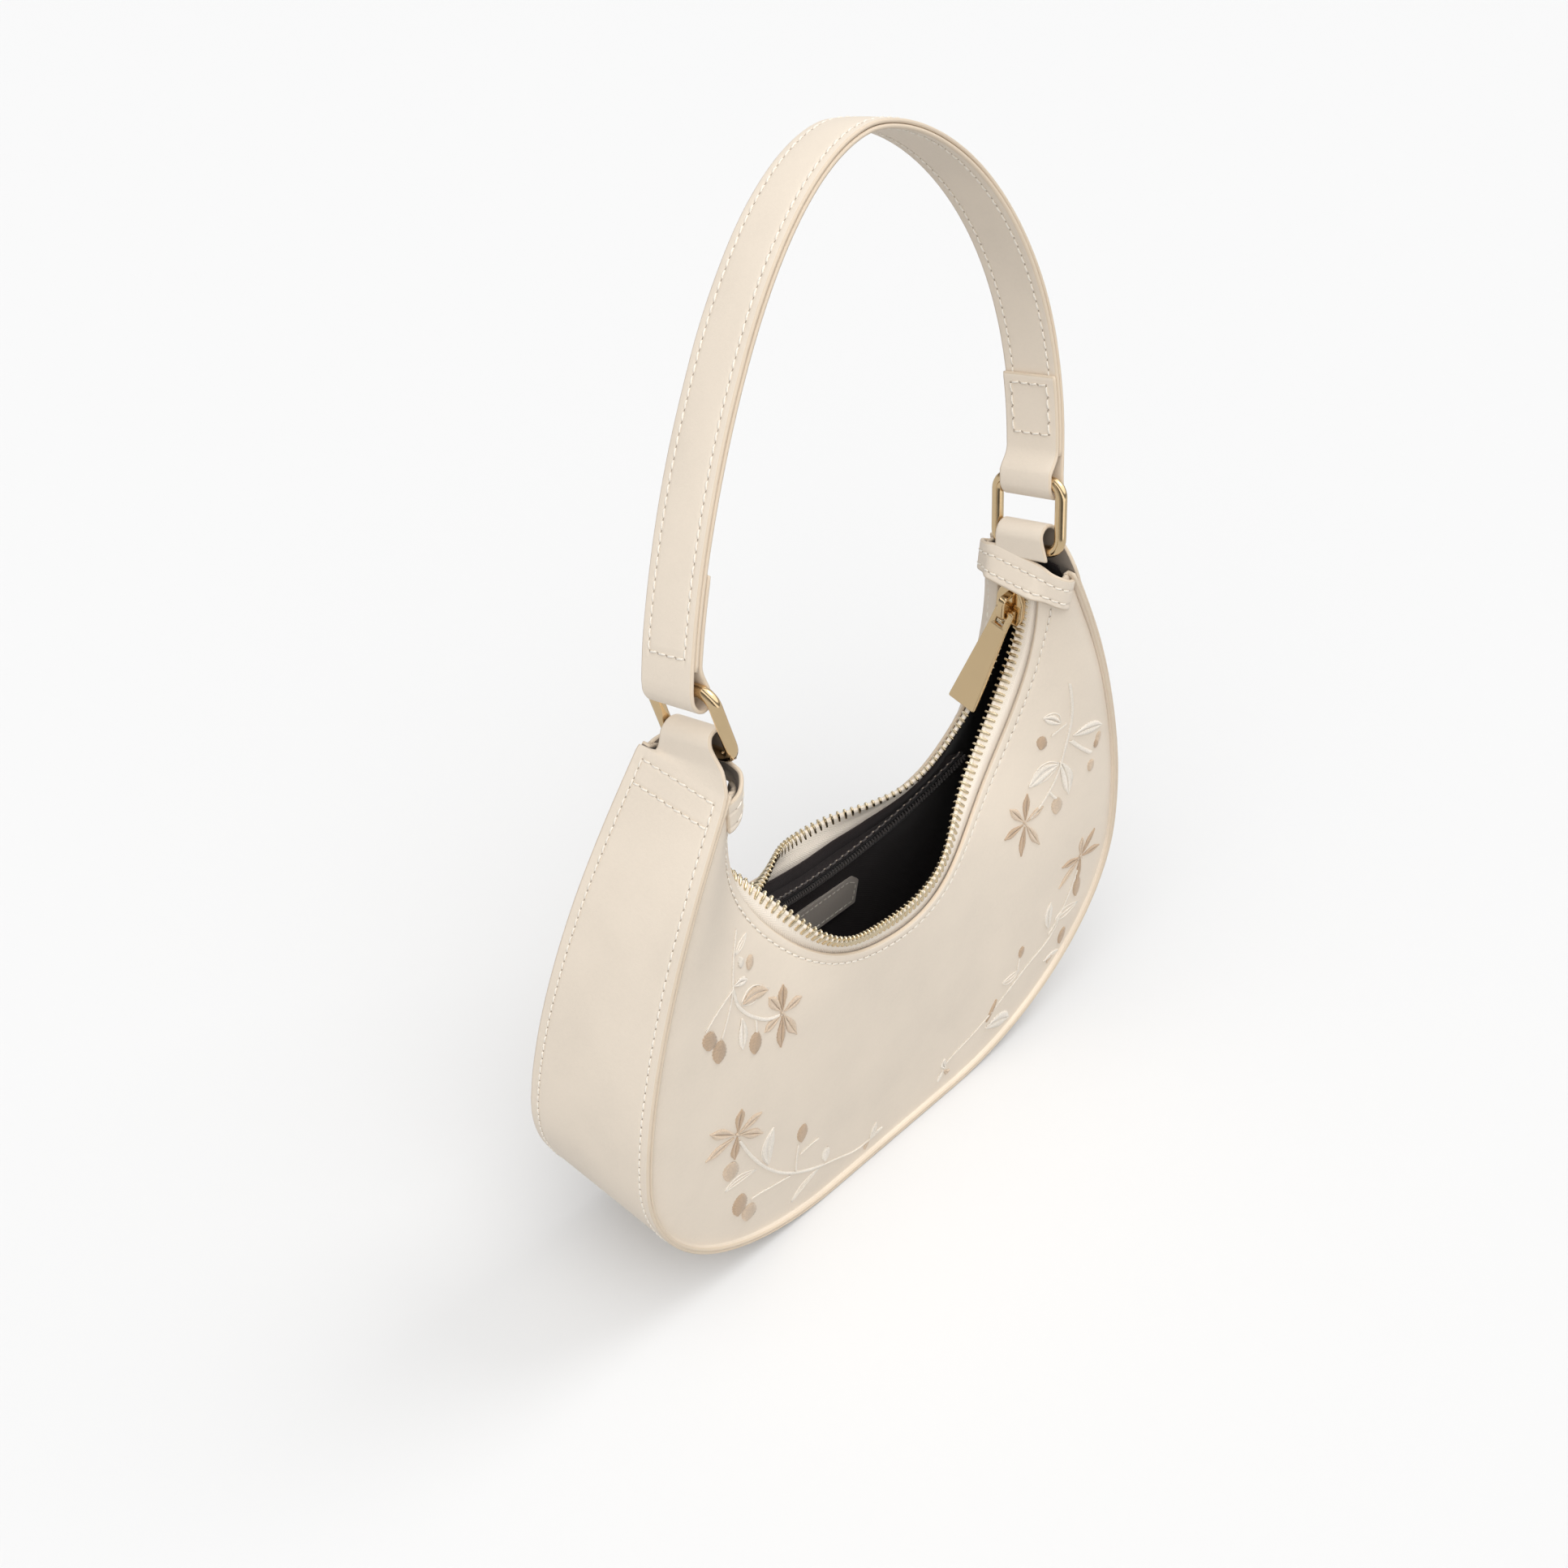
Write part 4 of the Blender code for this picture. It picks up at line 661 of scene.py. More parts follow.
def make_panel(side):
    """Half-moon panel: turned out along the gusset, dished in from the rim, with a stitched mouth edge."""
    name = WALL_NAMES[side] + "_panel_leather"
    run = FINE_RUN
    _, z, out_x, out_z = outline(run)
    top = half_depth(z)
    width = panel_width(run)
    rows = []
    inset = SEAM_INSET + PANEL
    lift = RIM_LIFT * np.clip((np.minimum(run, 1 - run) - 0.04) / 0.06, 0, 1)
    for step in (0.0, 0.33, 0.67, 1.0):
        drop = (RIM_HEIGHT - lift - RIM_GAP) * step
        rows.append(within(run, inset, side * (top - drop)))
    # The rows run aslant to the outline, so the first one starts where it clears the turned-out edge
    reach = face(run, 0.0, side) - face(run, 1.0, side)
    square = np.maximum(reach[:, 0] * out_x + reach[:, 2] * out_z, 0.004)
    first = (inset - SEAM_INSET + RIM_GAP) / square

    def outer(share):
        """The seen face, with a slow unevenness that dies away at the rim."""
        point = face(run, share, side)
        normal = face_out(run, share, side)
        fade = np.clip(np.minimum(share, 1 - share) * 8, 0, 1)[..., None]
        raised = (lift * (1 - share) ** 3)[..., None]
        uneven = ripple(point, size=0.045, height=0.0005, seed=3.0 * side) * fade
        return point + normal * (PANEL + raised + uneven), normal

    start, _ = outer(first)
    corner = within(run, inset, side * (top - RIM_HEIGHT + lift))
    for t in (0.25, 0.5, 0.75):
        rows.append(rows[3] * (1 - t) ** 2 + corner * 2 * t * (1 - t) + start * t ** 2)
    last = 1 - 0.0058 / width
    shares = [first + (last - first) * t for t in np.linspace(0, 1, 24) ** 1.15]
    shares += [1 - distance / width for distance in MOUTH_ROWS]
    for share in shares:
        point, normal = outer(share)
        distance = (1 - share) * width
        band = 0.00025 * np.clip((EDGE_STITCH - distance) / 0.0008, 0, 1) * np.clip(distance / 0.0006, 0, 1)
        rows.append(point + normal * (band - groove(distance, EDGE_STITCH, SEAM_DENT))[..., None])
    made = skin(name, rows, PANEL + 0.00025, (0, side, 0), SHELL)
    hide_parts("front_panel" if side < 0 else "back_panel")
    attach(made, "bag")
    line = run[10:-10]
    share = 1 - EDGE_STITCH / panel_width(line)
    row = face(line, share, side) + face_out(line, share, side) * (PANEL - 0.0002)
    sewing = Sewing()
    stitches(sewing, row, face_out(line, share, side))
    sewing.make(WALL_NAMES[side] + "_mouth_stitches", THREAD, "bag")
    return made


# Gusset halves with the loops over the rings

def lean(points, share=1.0):
    """Leans points back about X by a share of the handle's lean; the axis is at height 0."""
    c, s = np.cos(LEAN * np.asarray(share)), np.sin(LEAN * np.asarray(share))
    x, y, z = np.moveaxis(points, -1, 0)
    return np.stack([x, y * c + z * s, z * c - y * s], -1)


TILT_HEIGHT = 0.209673
CROSS_ROWS = (0.0036, 0.0112)
# Half the strip's width, by the run past the shoulder
NECK_RUNS = (-0.0015, 0.0, 0.0010, 0.0020, 0.0031, 0.0050, 0.0083, 0.0130, 0.0170, 0.0210, 0.0250, 0.0302)
NECK_HALVES = (0.0173, 0.0171, 0.0160, 0.0146, 0.0134, 0.0120, 0.0103, 0.0091, 0.0088, 0.0089, 0.0093, 0.0102)
# How far from the edge the strip's columns run, and which of them is sewn
EDGE_DISTANCES = (0.0, 0.0004, 0.0010, 0.0018, 0.0024, 0.0028, 0.0031, 0.0034, 0.0038, 0.0044, 0.0054)
EDGE_COLUMN = 6


def tab_path(side):
    """Place, half width, share of the lean and run past the shoulder, from under the bag to the loop."""
    path = []
    for share in np.concatenate([np.linspace(0.5, 0.93, 90), np.linspace(0.93, 1.0, 42)[1:]]):
        x, z, _, _ = outline(share)
        path.append((float(x), float(z), float(half_depth(z))))
    outer = TONGUE_INNER_X + 2 * TONGUE_LOOP_HALF
    arc_z = TILT_HEIGHT + TONGUE_RISE - TONGUE_LOOP_HALF
    path += [(0.0832, 0.2084, None), (outer + 0.0001, TILT_HEIGHT + 0.0002, None)]
    path += [(outer, TILT_HEIGHT + 0.0015 + k * 0.0011, None) for k in range(4)]
    centre = TONGUE_INNER_X + TONGUE_LOOP_HALF
    for turn in np.linspace(0, math.pi, 19):
        x, z = TONGUE_LOOP_HALF * math.cos(turn), TONGUE_LOOP_HALF * math.sin(turn)
        path.append((centre + x, arc_z + z, None))
    path += [(TONGUE_INNER_X, arc_z - k * (arc_z - TILT_HEIGHT + 0.0006) / 6, None) for k in range(1, 7)]
    plane = np.array([(side * x, z) for x, z, _ in path])
    run = lengths(plane)
    shoulder = run[sum(1 for p in path if p[2] is not None) - 1]
    beyond = run - shoulder
    half = np.array([p[2] if p[2] is not None else 9.0 for p in path])
    half = np.where(beyond < NECK_RUNS[0], half, np.minimum(half, np.interp(beyond, NECK_RUNS, NECK_HALVES)))
    return plane, half, ease(np.clip((beyond + 0.0005) / 0.0045, 0, 1)), beyond


def make_tab_side(side):
    """Half of the gusset, from under the bag up to its shoulder, and the loop over the ring as one strip."""
    name = SIDE_NAMES[side]
    plane, half, leaning, beyond = tab_path(side)
    fine = np.linspace(0, len(plane) - 1, 2 * len(plane) - 1)
    cut = np.arange(len(plane))
    plane = np.stack([np.interp(fine, cut, plane[:, k]) for k in range(2)], 1)
    half, leaning, beyond = (np.interp(fine, cut, values) for values in (half, leaning, beyond))
    near = np.array(EDGE_DISTANCES)
    centre = np.linspace(-1, 1, 13)
    ys = []
    for h in half:
        inner = h - near[-1]
        ys.append(np.concatenate([-h + near, centre[1:-1] * inner, h - near[::-1]]))
    ys = np.array(ys)
    distance = half[:, None] - np.abs(ys)
    tilted = np.stack([
        np.broadcast_to(plane[:, :1], ys.shape), ys - TONGUE_FORWARD * leaning[:, None],
        np.broadcast_to(plane[:, 1:] - TILT_HEIGHT, ys.shape),
    ], -1)
    grid = lean(tilted, leaning[:, None])
    grid[..., 2] += TILT_HEIGHT
    normal = grid_normals(grid, 30, 10, (side, 0, -0.5))
    # Full on the gusset and none on the loop, and none at the very bottom where both halves meet
    on_body = np.clip(-(beyond + 0.001) / 0.004, 0, 1)[:, None]
    low_fade = np.clip(grid[..., 2:3] / 0.02, 0, 1)
    dent = groove(distance, EDGE_STITCH, depth=0.00028) * on_body
    puff = 0.0003 * np.clip((EDGE_STITCH - distance) / 0.0010, 0, 1) * on_body
    for below in CROSS_ROWS:
        inside = np.clip((distance - EDGE_STITCH + 0.0006) / 0.0008, 0, 1)
        dent = dent + groove(beyond[:, None], -below, SEAM_DENT) * inside
    swell = ripple(grid, size=0.05, height=0.0006, seed=7.0 + side) * on_body[..., None] * low_fade
    grid = grid + normal * ((-dent - puff * 0.2)[..., None] + swell - 0.0003 * low_fade * on_body[..., None])
    made = skin(name + "_side_leather", grid, TONGUE - 0.0001, (side, 0, -0.5), SHELL)
    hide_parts("gusset", name + "_tongue")
    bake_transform(made)
    sewing = Sewing()
    top = int(np.argmin(np.abs(beyond + CROSS_ROWS[0])))
    for column in (EDGE_COLUMN, ys.shape[1] - 1 - EDGE_COLUMN):
        sewing.sew(grid, normal, slice(4, top + 1), column)
    for below in CROSS_ROWS:
        row = int(np.argmin(np.abs(beyond + below)))
        sewing.sew(grid, normal, row, slice(EDGE_COLUMN, ys.shape[1] - EDGE_COLUMN))
    sewing.make(name + "_side_stitches", THREAD, "bag")


def make_flap(side):
    """The sewn end of the loop's leather, over both panel tips and the end of the zip."""
    name = SIDE_NAMES[side]
    tip = 1.0 if side > 0 else 0.0
    out = PANEL + 2 * GAP + TONGUE
    top = np.array((side * TONGUE_INNER_X, 0.0, TILT_HEIGHT - GAP))
    low = top - np.array((side * FLAP_LIFT, 0.0, FLAP_DROP))
    across = np.array((0.0, FLAP_CENTRE_HALF, 0.0))

    def wing(wall, share, t):
        """A point of the flap on the panel's outside; its ends hang a little lower."""
        base = face(tip, share, wall) + face_out(tip, share, wall) * out
        fall = FLAP_END_FALL * (1 - share) / 0.6
        outward = side * 0.0012 * t * (share < 0.3)
        return np.array((base[0] + outward, base[1], low[2] + (top[2] - low[2]) * t - fall))

    shares = (0.20, 0.30, 0.45, 0.60, 0.72, 0.84)
    rows = []
    for t in np.linspace(0, 1, 25):
        path = [wing(-1, share, t) for share in shares]
        path += [low + (top - low) * t + across * share for share in (-1, -0.5, 0, 0.5, 1)]
        path += [wing(1, share, t) for share in shares[:0:-1]]
        rows.append(smooth_path(path, 57))
    grid = np.array(rows)
    normal = grid_normals(grid, 8, 28, (-side, 0, 0.3))
    height = lengths(grid[:, 28])
    marks = [0.0018, 0.0076]
    dent = sum(groove(height, at, SEAM_DENT) for at in marks)
    grid = grid - normal * dent[:, None, None]
    made = skin(name + "_flap_leather", grid, TONGUE, (-side, 0, 0.3), SHELL)
    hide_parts(name + "_flap")
    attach(made, "bag")
    sewing = Sewing()
    for at in marks:
        sewing.sew(grid, normal, int(np.argmin(np.abs(height - at))), slice(3, -3))
    sewing.make(name + "_flap_stitches", THREAD, "bag")


# Rings

def lean_matrix():
    return Matrix.Rotation(-LEAN, 4, "X")


def ring_matrix(side):
    x = TONGUE_INNER_X + TONGUE + RING_WIRE + GAP
    bar = lean_matrix() @ Vector((0.0, -RING_FORWARD, RING_RISE))
    base = Vector((side * x, 0.0, TILT_HEIGHT)) + bar
    return Matrix.Translation(base) @ lean_matrix() @ Matrix.Rotation(side * RING_SWING, 4, "Y")


def ring_top(side):
    return ring_matrix(side) @ Vector((0.0, 0.0, RING_LENGTH))


def make_ring(side):
    name = SIDE_NAMES[side] + "_ring"
    half = RING_LENGTH / 2
    corners = rounded(RING_HALF, half, RING_CORNER, steps=11)
    path = np.array([ring_matrix(side) @ Vector((0.0, y, half + z)) for y, z in corners])
    closed = resample(np.concatenate([path, path[:1]]), 90)[:-1]
    batch = Batch()
    batch.ring(closed, RING_WIRE, sides=20)
    made = batch.make(name + "_wire", GOLD, name)
    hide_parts(name)


# Handle

def arch(count):
    """Even steps along the strap's outer face in the handle's plane, from the left ring to the right one."""
    half_span = ring_top(1).x + LOOP_RADIUS + FACING
    turns = np.linspace(math.pi, 0, 1441)
    c, s = np.cos(turns), np.sin(turns)
    power = 2 / HANDLE_POWER
    x = half_span * np.sign(c) * np.abs(c) ** power
    z = HANDLE_RISE * np.abs(s) ** power
    return resample(np.stack([x + HANDLE_SWEEP * np.sin(HANDLE_SWEEP_TURN * z / HANDLE_RISE), z], 1), count)


def inner_normals(path):
    run = np.gradient(path, axis=0)
    return unit(np.stack([run[:, 1], -run[:, 0]], 1))


def loop(side, path, normals):
    """The facing's outer surface round a ring's upper bar, and the fold that goes back up the inner side."""
    outer = LOOP_RADIUS + FACING
    stack = FACING + 2 * GAP + BACKING + FACING
    run = lengths(path)
    keep = (run > 0) & (run <= FOLD_LENGTH)
    closed = ease(np.minimum(run[keep] / LOOP_EASE, 1))
    inner = path[keep] + normals[keep] * (LOOP_WIDTH + (stack - LOOP_WIDTH) * closed)[:, None]
    turns = np.linspace(0, math.pi, 21)
    middle = ring_top(side).x + side * (outer - LOOP_WIDTH / 2)
    turn = np.stack([middle + side * LOOP_WIDTH / 2 * np.cos(turns), -LOOP_DROP - outer * np.sin(turns)], 1)
    return turn, inner


def handle_place(path, ys):
    """Puts a path of the handle's plane into the world, at each of the strap's columns."""
    middle = (ring_top(-1) + ring_top(1)) / 2
    flat = np.stack(np.broadcast_arrays(path[:, :1], ys, path[:, 1:]), -1)
    return lean(flat) + np.array(middle)


# How far from the edge the strap's columns run, and which of them is sewn
STRAP_DISTANCES = (0.0, 0.0003, 0.0008, 0.0014, 0.0019, 0.0023, 0.0026, 0.0029, 0.0033, 0.0040)
STRAP_COLUMN = 6


def strap_columns():
    near = np.array(STRAP_DISTANCES)
    inner = HANDLE_HALF - near[-1]
    centre = np.linspace(-inner, inner, 9)[1:-1]
    return np.concatenate([-HANDLE_HALF + near, centre, HANDLE_HALF - near[::-1]])


def make_handle():
    """Strap and its lining, turned round both rings, with all their stitches."""
    path = arch(261)
    normals = inner_normals(path)
    right_turn, right_inner = loop(1, path[::-1], normals[::-1])
    left_turn, left_inner = loop(-1, path, normals)
    whole = np.concatenate([left_inner[::-1], left_turn[::-1], path[1:-1], right_turn, right_inner])
    first = len(left_inner) + len(left_turn)
    ys = strap_columns()
    grid = handle_place(whole, ys)
    normal = grid_normals(grid, first + len(path) // 2, len(ys) // 2, (0, 0, 1))
    distance = HANDLE_HALF - np.abs(ys)
    along = lengths(whole)
    stem = LOOP_STEM * 0.72
    start, end = along[first] + stem, along[first + len(path) - 2] - stem
    flat = np.clip((along - start) / 0.0008 + 0.5, 0, 1) * np.clip((end - along) / 0.0008 + 0.5, 0, 1)
    dent = groove(distance, STRAP_STITCH, SEAM_DENT)[None, :] * flat[:, None]
    inside = np.clip((distance - STRAP_STITCH + 0.0006) / 0.0008, 0, 1)[None, :]
    ends = sum(groove(along, at, SEAM_DENT) for at in (start, end))
    dome = 0.00035 * (1 - (ys / HANDLE_HALF) ** 2)[None, :] * flat[:, None]
    worn = ripple(grid, size=0.03, height=0.0003, seed=11.0)[..., 0]
    grid = grid + normal * (dome + worn * flat[:, None] - dent - ends[:, None] * inside)[..., None]
    facing = skin("handle_strap", grid, FACING, normal[len(grid) // 2, len(ys) // 2], STRAP)
    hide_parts("handle_facing")
    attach(facing, "handle")
    run = lengths(path)
    inside_path = path + normals * (FACING + GAP + BACKING)
    keep = (run > BACKING_START) & (run < run[-1] - BACKING_START)
    back = handle_place(inside_path[keep], ys)
    back_normal = grid_normals(back, len(back) // 2, 5, (0, 0, -1))
    back_dent = groove(distance, STRAP_STITCH, 0.00025)[None, :, None]
    back = back + back_normal * (0.0001 - back_dent)
    backing = skin("handle_lining", back, BACKING + GAP, (0, 0, -1), STRAP)
    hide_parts("handle_backing")
    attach(backing, "handle")

    sewing = Sewing()
    low, high = int(np.argmin(np.abs(along - start))), int(np.argmin(np.abs(along - end)))
    edges = (STRAP_COLUMN, len(ys) - 1 - STRAP_COLUMN)
    span = slice(edges[0], edges[1] + 1)
    for column in edges:
        sewing.sew(grid, normal, slice(low, high + 1), column)
        sewing.sew(back, back_normal, slice(6, -6), column)
    for row in (low, high):
        sewing.sew(grid, normal, row, span)
    # The fold's own rows, on the inner side above each ring
    for start, stop in ((2, len(left_inner) - 10), (len(grid) - len(right_inner) + 10, len(grid) - 2)):
        for column in edges:
            sewing.sew(grid, normal, slice(start, stop), column, FOLD_SEAM_LIFT)
        for row in (start, stop - 1):
            sewing.sew(grid, normal, row, span, FOLD_SEAM_LIFT)
    sewing.make("handle_stitches", THREAD, "handle")


# Zip of the mouth

CORD_LIFT = 0.0003


def tape_tilt(angle, side):
    degrees, tilts = FRONT_TILT if side < 0 else BACK_TILT
    places = np.degrees(np.asarray(angle))[..., None] + np.array(TILT_SMOOTHING)
    return np.radians(np.interp(places, degrees, tilts).mean(-1))


def free_tape(angle, side):
    return (TAPE_FREE - BACK_CLOSING * closing(np.asarray(angle), side))[..., None]


def tape_end(angle, side):
    """The tape's woven edge and the direction that the tape runs in there."""
    tilt = tape_tilt(angle, side)[..., None]
    radial = np.stack(np.broadcast_arrays(np.sin(angle), 0.0, -np.cos(angle)), -1)
    direction = np.array((0.0, -side, 0.0)) * np.cos(tilt) - radial * np.sin(tilt)
    start = arc(angle, ARC_RADIUS - TAPE_RISE, side * mouth_half(angle, side))
    return start + direction * free_tape(angle, side), direction


def chain_frames(angles, side):
    """Places on the tape's edge, the way the teeth point, the chain's up and its run."""
    end, direction = tape_end(angles, side)
    step = math.radians(1)
    run = unit(tape_end(angles + step, side)[0] - tape_end(angles - step, side)[0])
    direction = unit(direction - run * np.sum(direction * run, -1, keepdims=True))
    return end, direction, unit(np.cross(direction, run)), run


def make_tape(side):
    """Zip tape from under the mouth's edge to its woven edge, with the cord that the teeth clamp."""
    name = WALL_NAMES[side]
    run = FINE_RUN
    angles = mouth_angle(run)
    end, direction = tape_end(angles, side)
    inward = -face_out(run, TAPE_SEAM_SHARE, side)
    edge_in = -face_out(run, 1.0, side)
    sewn = face(run, TAPE_SEAM_SHARE, side) + inward * (GAP + TAPE)
    edge = face(run, 1.0, side) + edge_in * (GAP + TAPE)
    free = direction * free_tape(angles, side)
    grid = cut_corners([sewn, edge, end - free * 0.75, end - free * 0.4, end - direction * 0.0004], 2)
    made = skin(name + "_tape", grid, TAPE, -inward[len(run) // 2], [TAPE_CLOTH] * 3)
    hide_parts(name + "_zip_tape")
    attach(made, "bag")
    cord = Batch()
    fine = np.linspace(-TIP_ANGLE + 0.02, TIP_ANGLE - 0.02, 260)
    end, direction, up, _ = chain_frames(fine, side)
    cord.tube(end - direction * 0.0002 + up * CORD_LIFT, radii=0.00075, side=up, sides=8)
    cord.make(name + "_tape_cord", TAPE_CLOTH, "bag")


# How far out a section of the tooth stands, and half its width and thickness in millimetres
TOOTH_PROFILE = (
    (-0.0030, 0.30, 0.55), (-0.0028, 0.52, 0.85), (-0.0020, 0.58, 1.00), (-0.0008, 0.60, 1.18),
    (0.0002, 0.60, 1.20), (0.0007, 0.54, 1.02), (0.0010, 0.44, 0.84), (0.0013, 0.50, 0.92),
    (0.0016, 0.40, 0.74), (0.0018, 0.18, 0.36),
)


def make_teeth(side):
    """One row of clamped metal teeth, each with a waisted head."""
    name = WALL_NAMES[side]
    count = int(2 * TIP_ANGLE * (ARC_RADIUS - TAPE_RISE) / TOOTH_PITCH)
    reach = TIP_ANGLE - STOP_LENGTH / ARC_RADIUS
    angles = -reach + 2 * reach * (2 * np.arange(count) + 1) / (2 * count)
    batch = Batch()
    turns = 2 * math.pi * (np.arange(10)[:, None] + 0.5) / 10
    square = 1 / np.maximum(np.abs(np.cos(turns)), np.abs(np.sin(turns))) ** 0.7
    for end, direction, up, run in zip(*chain_frames(angles, side)):
        sections = []
        for along, wide, thick in TOOTH_PROFILE:
            centre = end + direction * along + up * CORD_LIFT
            ring = run * (np.cos(turns) * square * wide) + up * (np.sin(turns) * square * thick)
            sections.append(centre + ring * 0.001)
        batch.loft(sections)
    made = batch.make(name + "_teeth", TEETH_GOLD, "bag")
    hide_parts(name + "_zip_teeth")


def bevelled(node, finish, width):
    """A hard CAD piece that stays, with softened edges and its own finish."""
    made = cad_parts[node]
    weld = made.modifiers.new("weld", "WELD")
    weld.merge_threshold = 0.00001
    bevel = made.modifiers.new("edge", "BEVEL")
    bevel.width = width
    bevel.segments = 3
    bevel.limit_method = "ANGLE"
    bevel.angle_limit = math.radians(35)
    bevel.harden_normals = True
    for slot in made.material_slots:
        slot.material = finish
    return made


def plain(node, finish):
    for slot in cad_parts[node].material_slots:
        slot.material = finish


def make_slider():
    """Slider: a domed upper plate and a flat lower one with turned edges, the post and the pull's bridge."""
    middle = ARC_RADIUS - TAPE_RISE
    gap = TOOTH_THICKNESS / 2 + SLIDER_GAP
    half_turn = SLIDER_LENGTH / 2 / middle
    batch = Batch()
    shares = np.linspace(-1, 1, 25)
    taper = ((-1, -0.9, -0.6, 0.2, 0.8, 0.95, 1.0), (0.62, 0.84, 1.0, 1.0, 0.66, 0.56, 0.42))
    widths = np.interp(shares, *taper) * SLIDER_HALF_WIDTH
    edge = 0.00045
    for inner in (middle - gap - SLIDER_PLATE, middle + gap):
        outer = inner + SLIDER_PLATE
        sections = []
        for share, wide in zip(shares, widths):
            swell = 1.0 if abs(share) < 0.96 else 0.8
            ring = rounded(wide, (outer - inner) / 2 * swell, edge * swell)
            angle = SLIDER_ANGLE + half_turn * share
            sections.append([arc(angle, (inner + outer) / 2 - r, y) for y, r in ring])
        batch.loft(sections)
    for wall in (-1, 1):
        sections = []
        for share, wide in zip(shares[2:-3], widths[2:-3]):
            angle = SLIDER_ANGLE + half_turn * share
            low, aside = middle - gap + 0.0003, wall * (wide - 0.00055)
            sections.append([arc(angle, low - r, aside + y) for y, r in rounded(edge, 0.0007, 0.0003)])
        batch.loft(sections)
    post = []
    for share in (-0.93, -0.8, -0.45, -0.35):
        size = 0.0007 if share in (-0.8, -0.45) else 0.0004
        angle = SLIDER_ANGLE + half_turn * share
        post.append([arc(angle, middle + r, y) for y, r in rounded(size, gap + 0.0003, size / 2)])
    batch.loft(post)
    top = middle - gap - SLIDER_PLATE
    crown = top - BRIDGE_HEIGHT
    reach = (BRIDGE_LENGTH / 2 - BRIDGE_WIRE / 2) / middle
    bend = smooth_path([
        (-reach, top + 0.0006), (-reach, crown + 0.0018), (-reach * 0.85, crown + BRIDGE_WIRE * 0.5),
        (0.0, crown + BRIDGE_WIRE * 0.3), (reach * 0.85, crown + BRIDGE_WIRE * 0.5), (reach, crown + 0.0018),
        (reach, top + 0.0006),
    ], 33)
    path = arc(SLIDER_ANGLE + bend[:, 0], bend[:, 1], 0.0)
    run = unit(np.gradient(path, axis=0))
    across = np.array((0.0, 1.0, 0.0))
    ring = np.array(rounded(0.0014, 0.00072, 0.0006, steps=5))
    sections = []
    for point, direction in zip(path, run):
        up = np.cross(direction, across)
        sections.append(list(point + ring[:, :1] * across + ring[:, 1:] * up))
    batch.loft(sections)
    made = batch.make("zip_slider_body", GOLD, "zip_slider")
    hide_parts("zip_slider")


def plate_mesh(name, outlines, thickness, round_edge, finish, place):
    """A flat plate with rounded edges from closed outlines; the first is the outside."""
    curve = bpy.data.curves.new(name, "CURVE")
    curve.dimensions = "2D"
    curve.fill_mode = "BOTH"
    curve.extrude = thickness / 2 - round_edge
    curve.bevel_depth = round_edge
    curve.bevel_resolution = 3
    curve.offset = -round_edge
    for ring in outlines:
        spline = curve.splines.new("POLY")
        spline.points.add(len(ring) - 1)
        for point, (x, y) in zip(spline.points, ring):
            point.co = (x, y, 0.0, 1.0)
        spline.use_cyclic_u = True
    raw = put(name + "_curve", curve)
    bpy.context.view_layer.update()
    mesh = bpy.data.meshes.new_from_object(raw.evaluated_get(bpy.context.evaluated_depsgraph_get()))
    bpy.data.objects.remove(raw, do_unlink=True)
    turn_out(mesh, 0.000005)
    mesh.materials.clear()
    mesh.materials.append(finish)
    mesh.transform(place)
    mesh.set_sharp_from_angle(angle=math.radians(32))
    mesh.name = name
    return put(name, mesh)


def round_corners(points, radius, steps=4):
    """A closed outline with each corner rounded."""
    points = [np.array(p, float) for p in points]
    made = []
    for k, point in enumerate(points):
        before, after = points[k - 1], points[(k + 1) % len(points)]
        reach = min(radius, np.linalg.norm(before - point) * 0.45, np.linalg.norm(after - point) * 0.45)
        a, b = point + unit(before - point) * reach, point + unit(after - point) * reach
        for t in np.linspace(0, 1, steps + 1):
            made.append(tuple(a * (1 - t) ** 2 + point * 2 * t * (1 - t) + b * t ** 2))
    return made


def make_pull():
    """Long polished pull: a slim window for the bridge, then a plate that widens to a square end."""
    bar, neck_end, wide_end = 0.0007, -0.0070, -PULL_LENGTH + 0.0016
    half = [(PULL_NECK, bar), (PULL_NECK, neck_end), (PULL_WIDE, wide_end), (PULL_WIDE, -PULL_LENGTH)]
    outside = round_corners([(-PULL_NECK, bar)] + half + [(-x, y) for x, y in half[:0:-1]], radius=0.0012)
    window = round_corners([(-0.0018, -bar), (0.0018, -bar), (0.0018, -0.0055), (-0.0018, -0.0055)], 0.0006)
    middle = ARC_RADIUS - TAPE_RISE
    top = middle - TOOTH_THICKNESS / 2 - SLIDER_GAP - SLIDER_PLATE
    radius = top - (BRIDGE_HEIGHT - BRIDGE_WIRE) / 2
    turn = (BRIDGE_LENGTH / 2 - BRIDGE_WIRE - bar - 0.0006) / middle
    pivot = Vector(arc(SLIDER_ANGLE - turn, radius, 0.0))
    axes = Matrix.Rotation(math.radians(17), 4, "Y") @ Matrix.Rotation(math.radians(8), 4, "X")
    axes = axes @ Matrix.Rotation(math.pi / 2, 4, "Z") @ Matrix.Rotation(math.pi / 2, 4, "X")
    place = Matrix.Translation(pivot) @ axes
    made = plate_mesh("zip_pull_plate", [outside, window], PULL_THICKNESS + 0.0004, 0.00045, GOLD, place)
    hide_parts("zip_pull")
    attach(made, "zip_pull")


# Lining, inner pocket and label

def lining_depth(share, side):
    rise = np.maximum(share - 0.88, 0) / 0.12
    return WALL_DEPTH[side] + (GAP + TAPE + GAP - WALL_DEPTH[side]) * np.minimum(rise, 1)


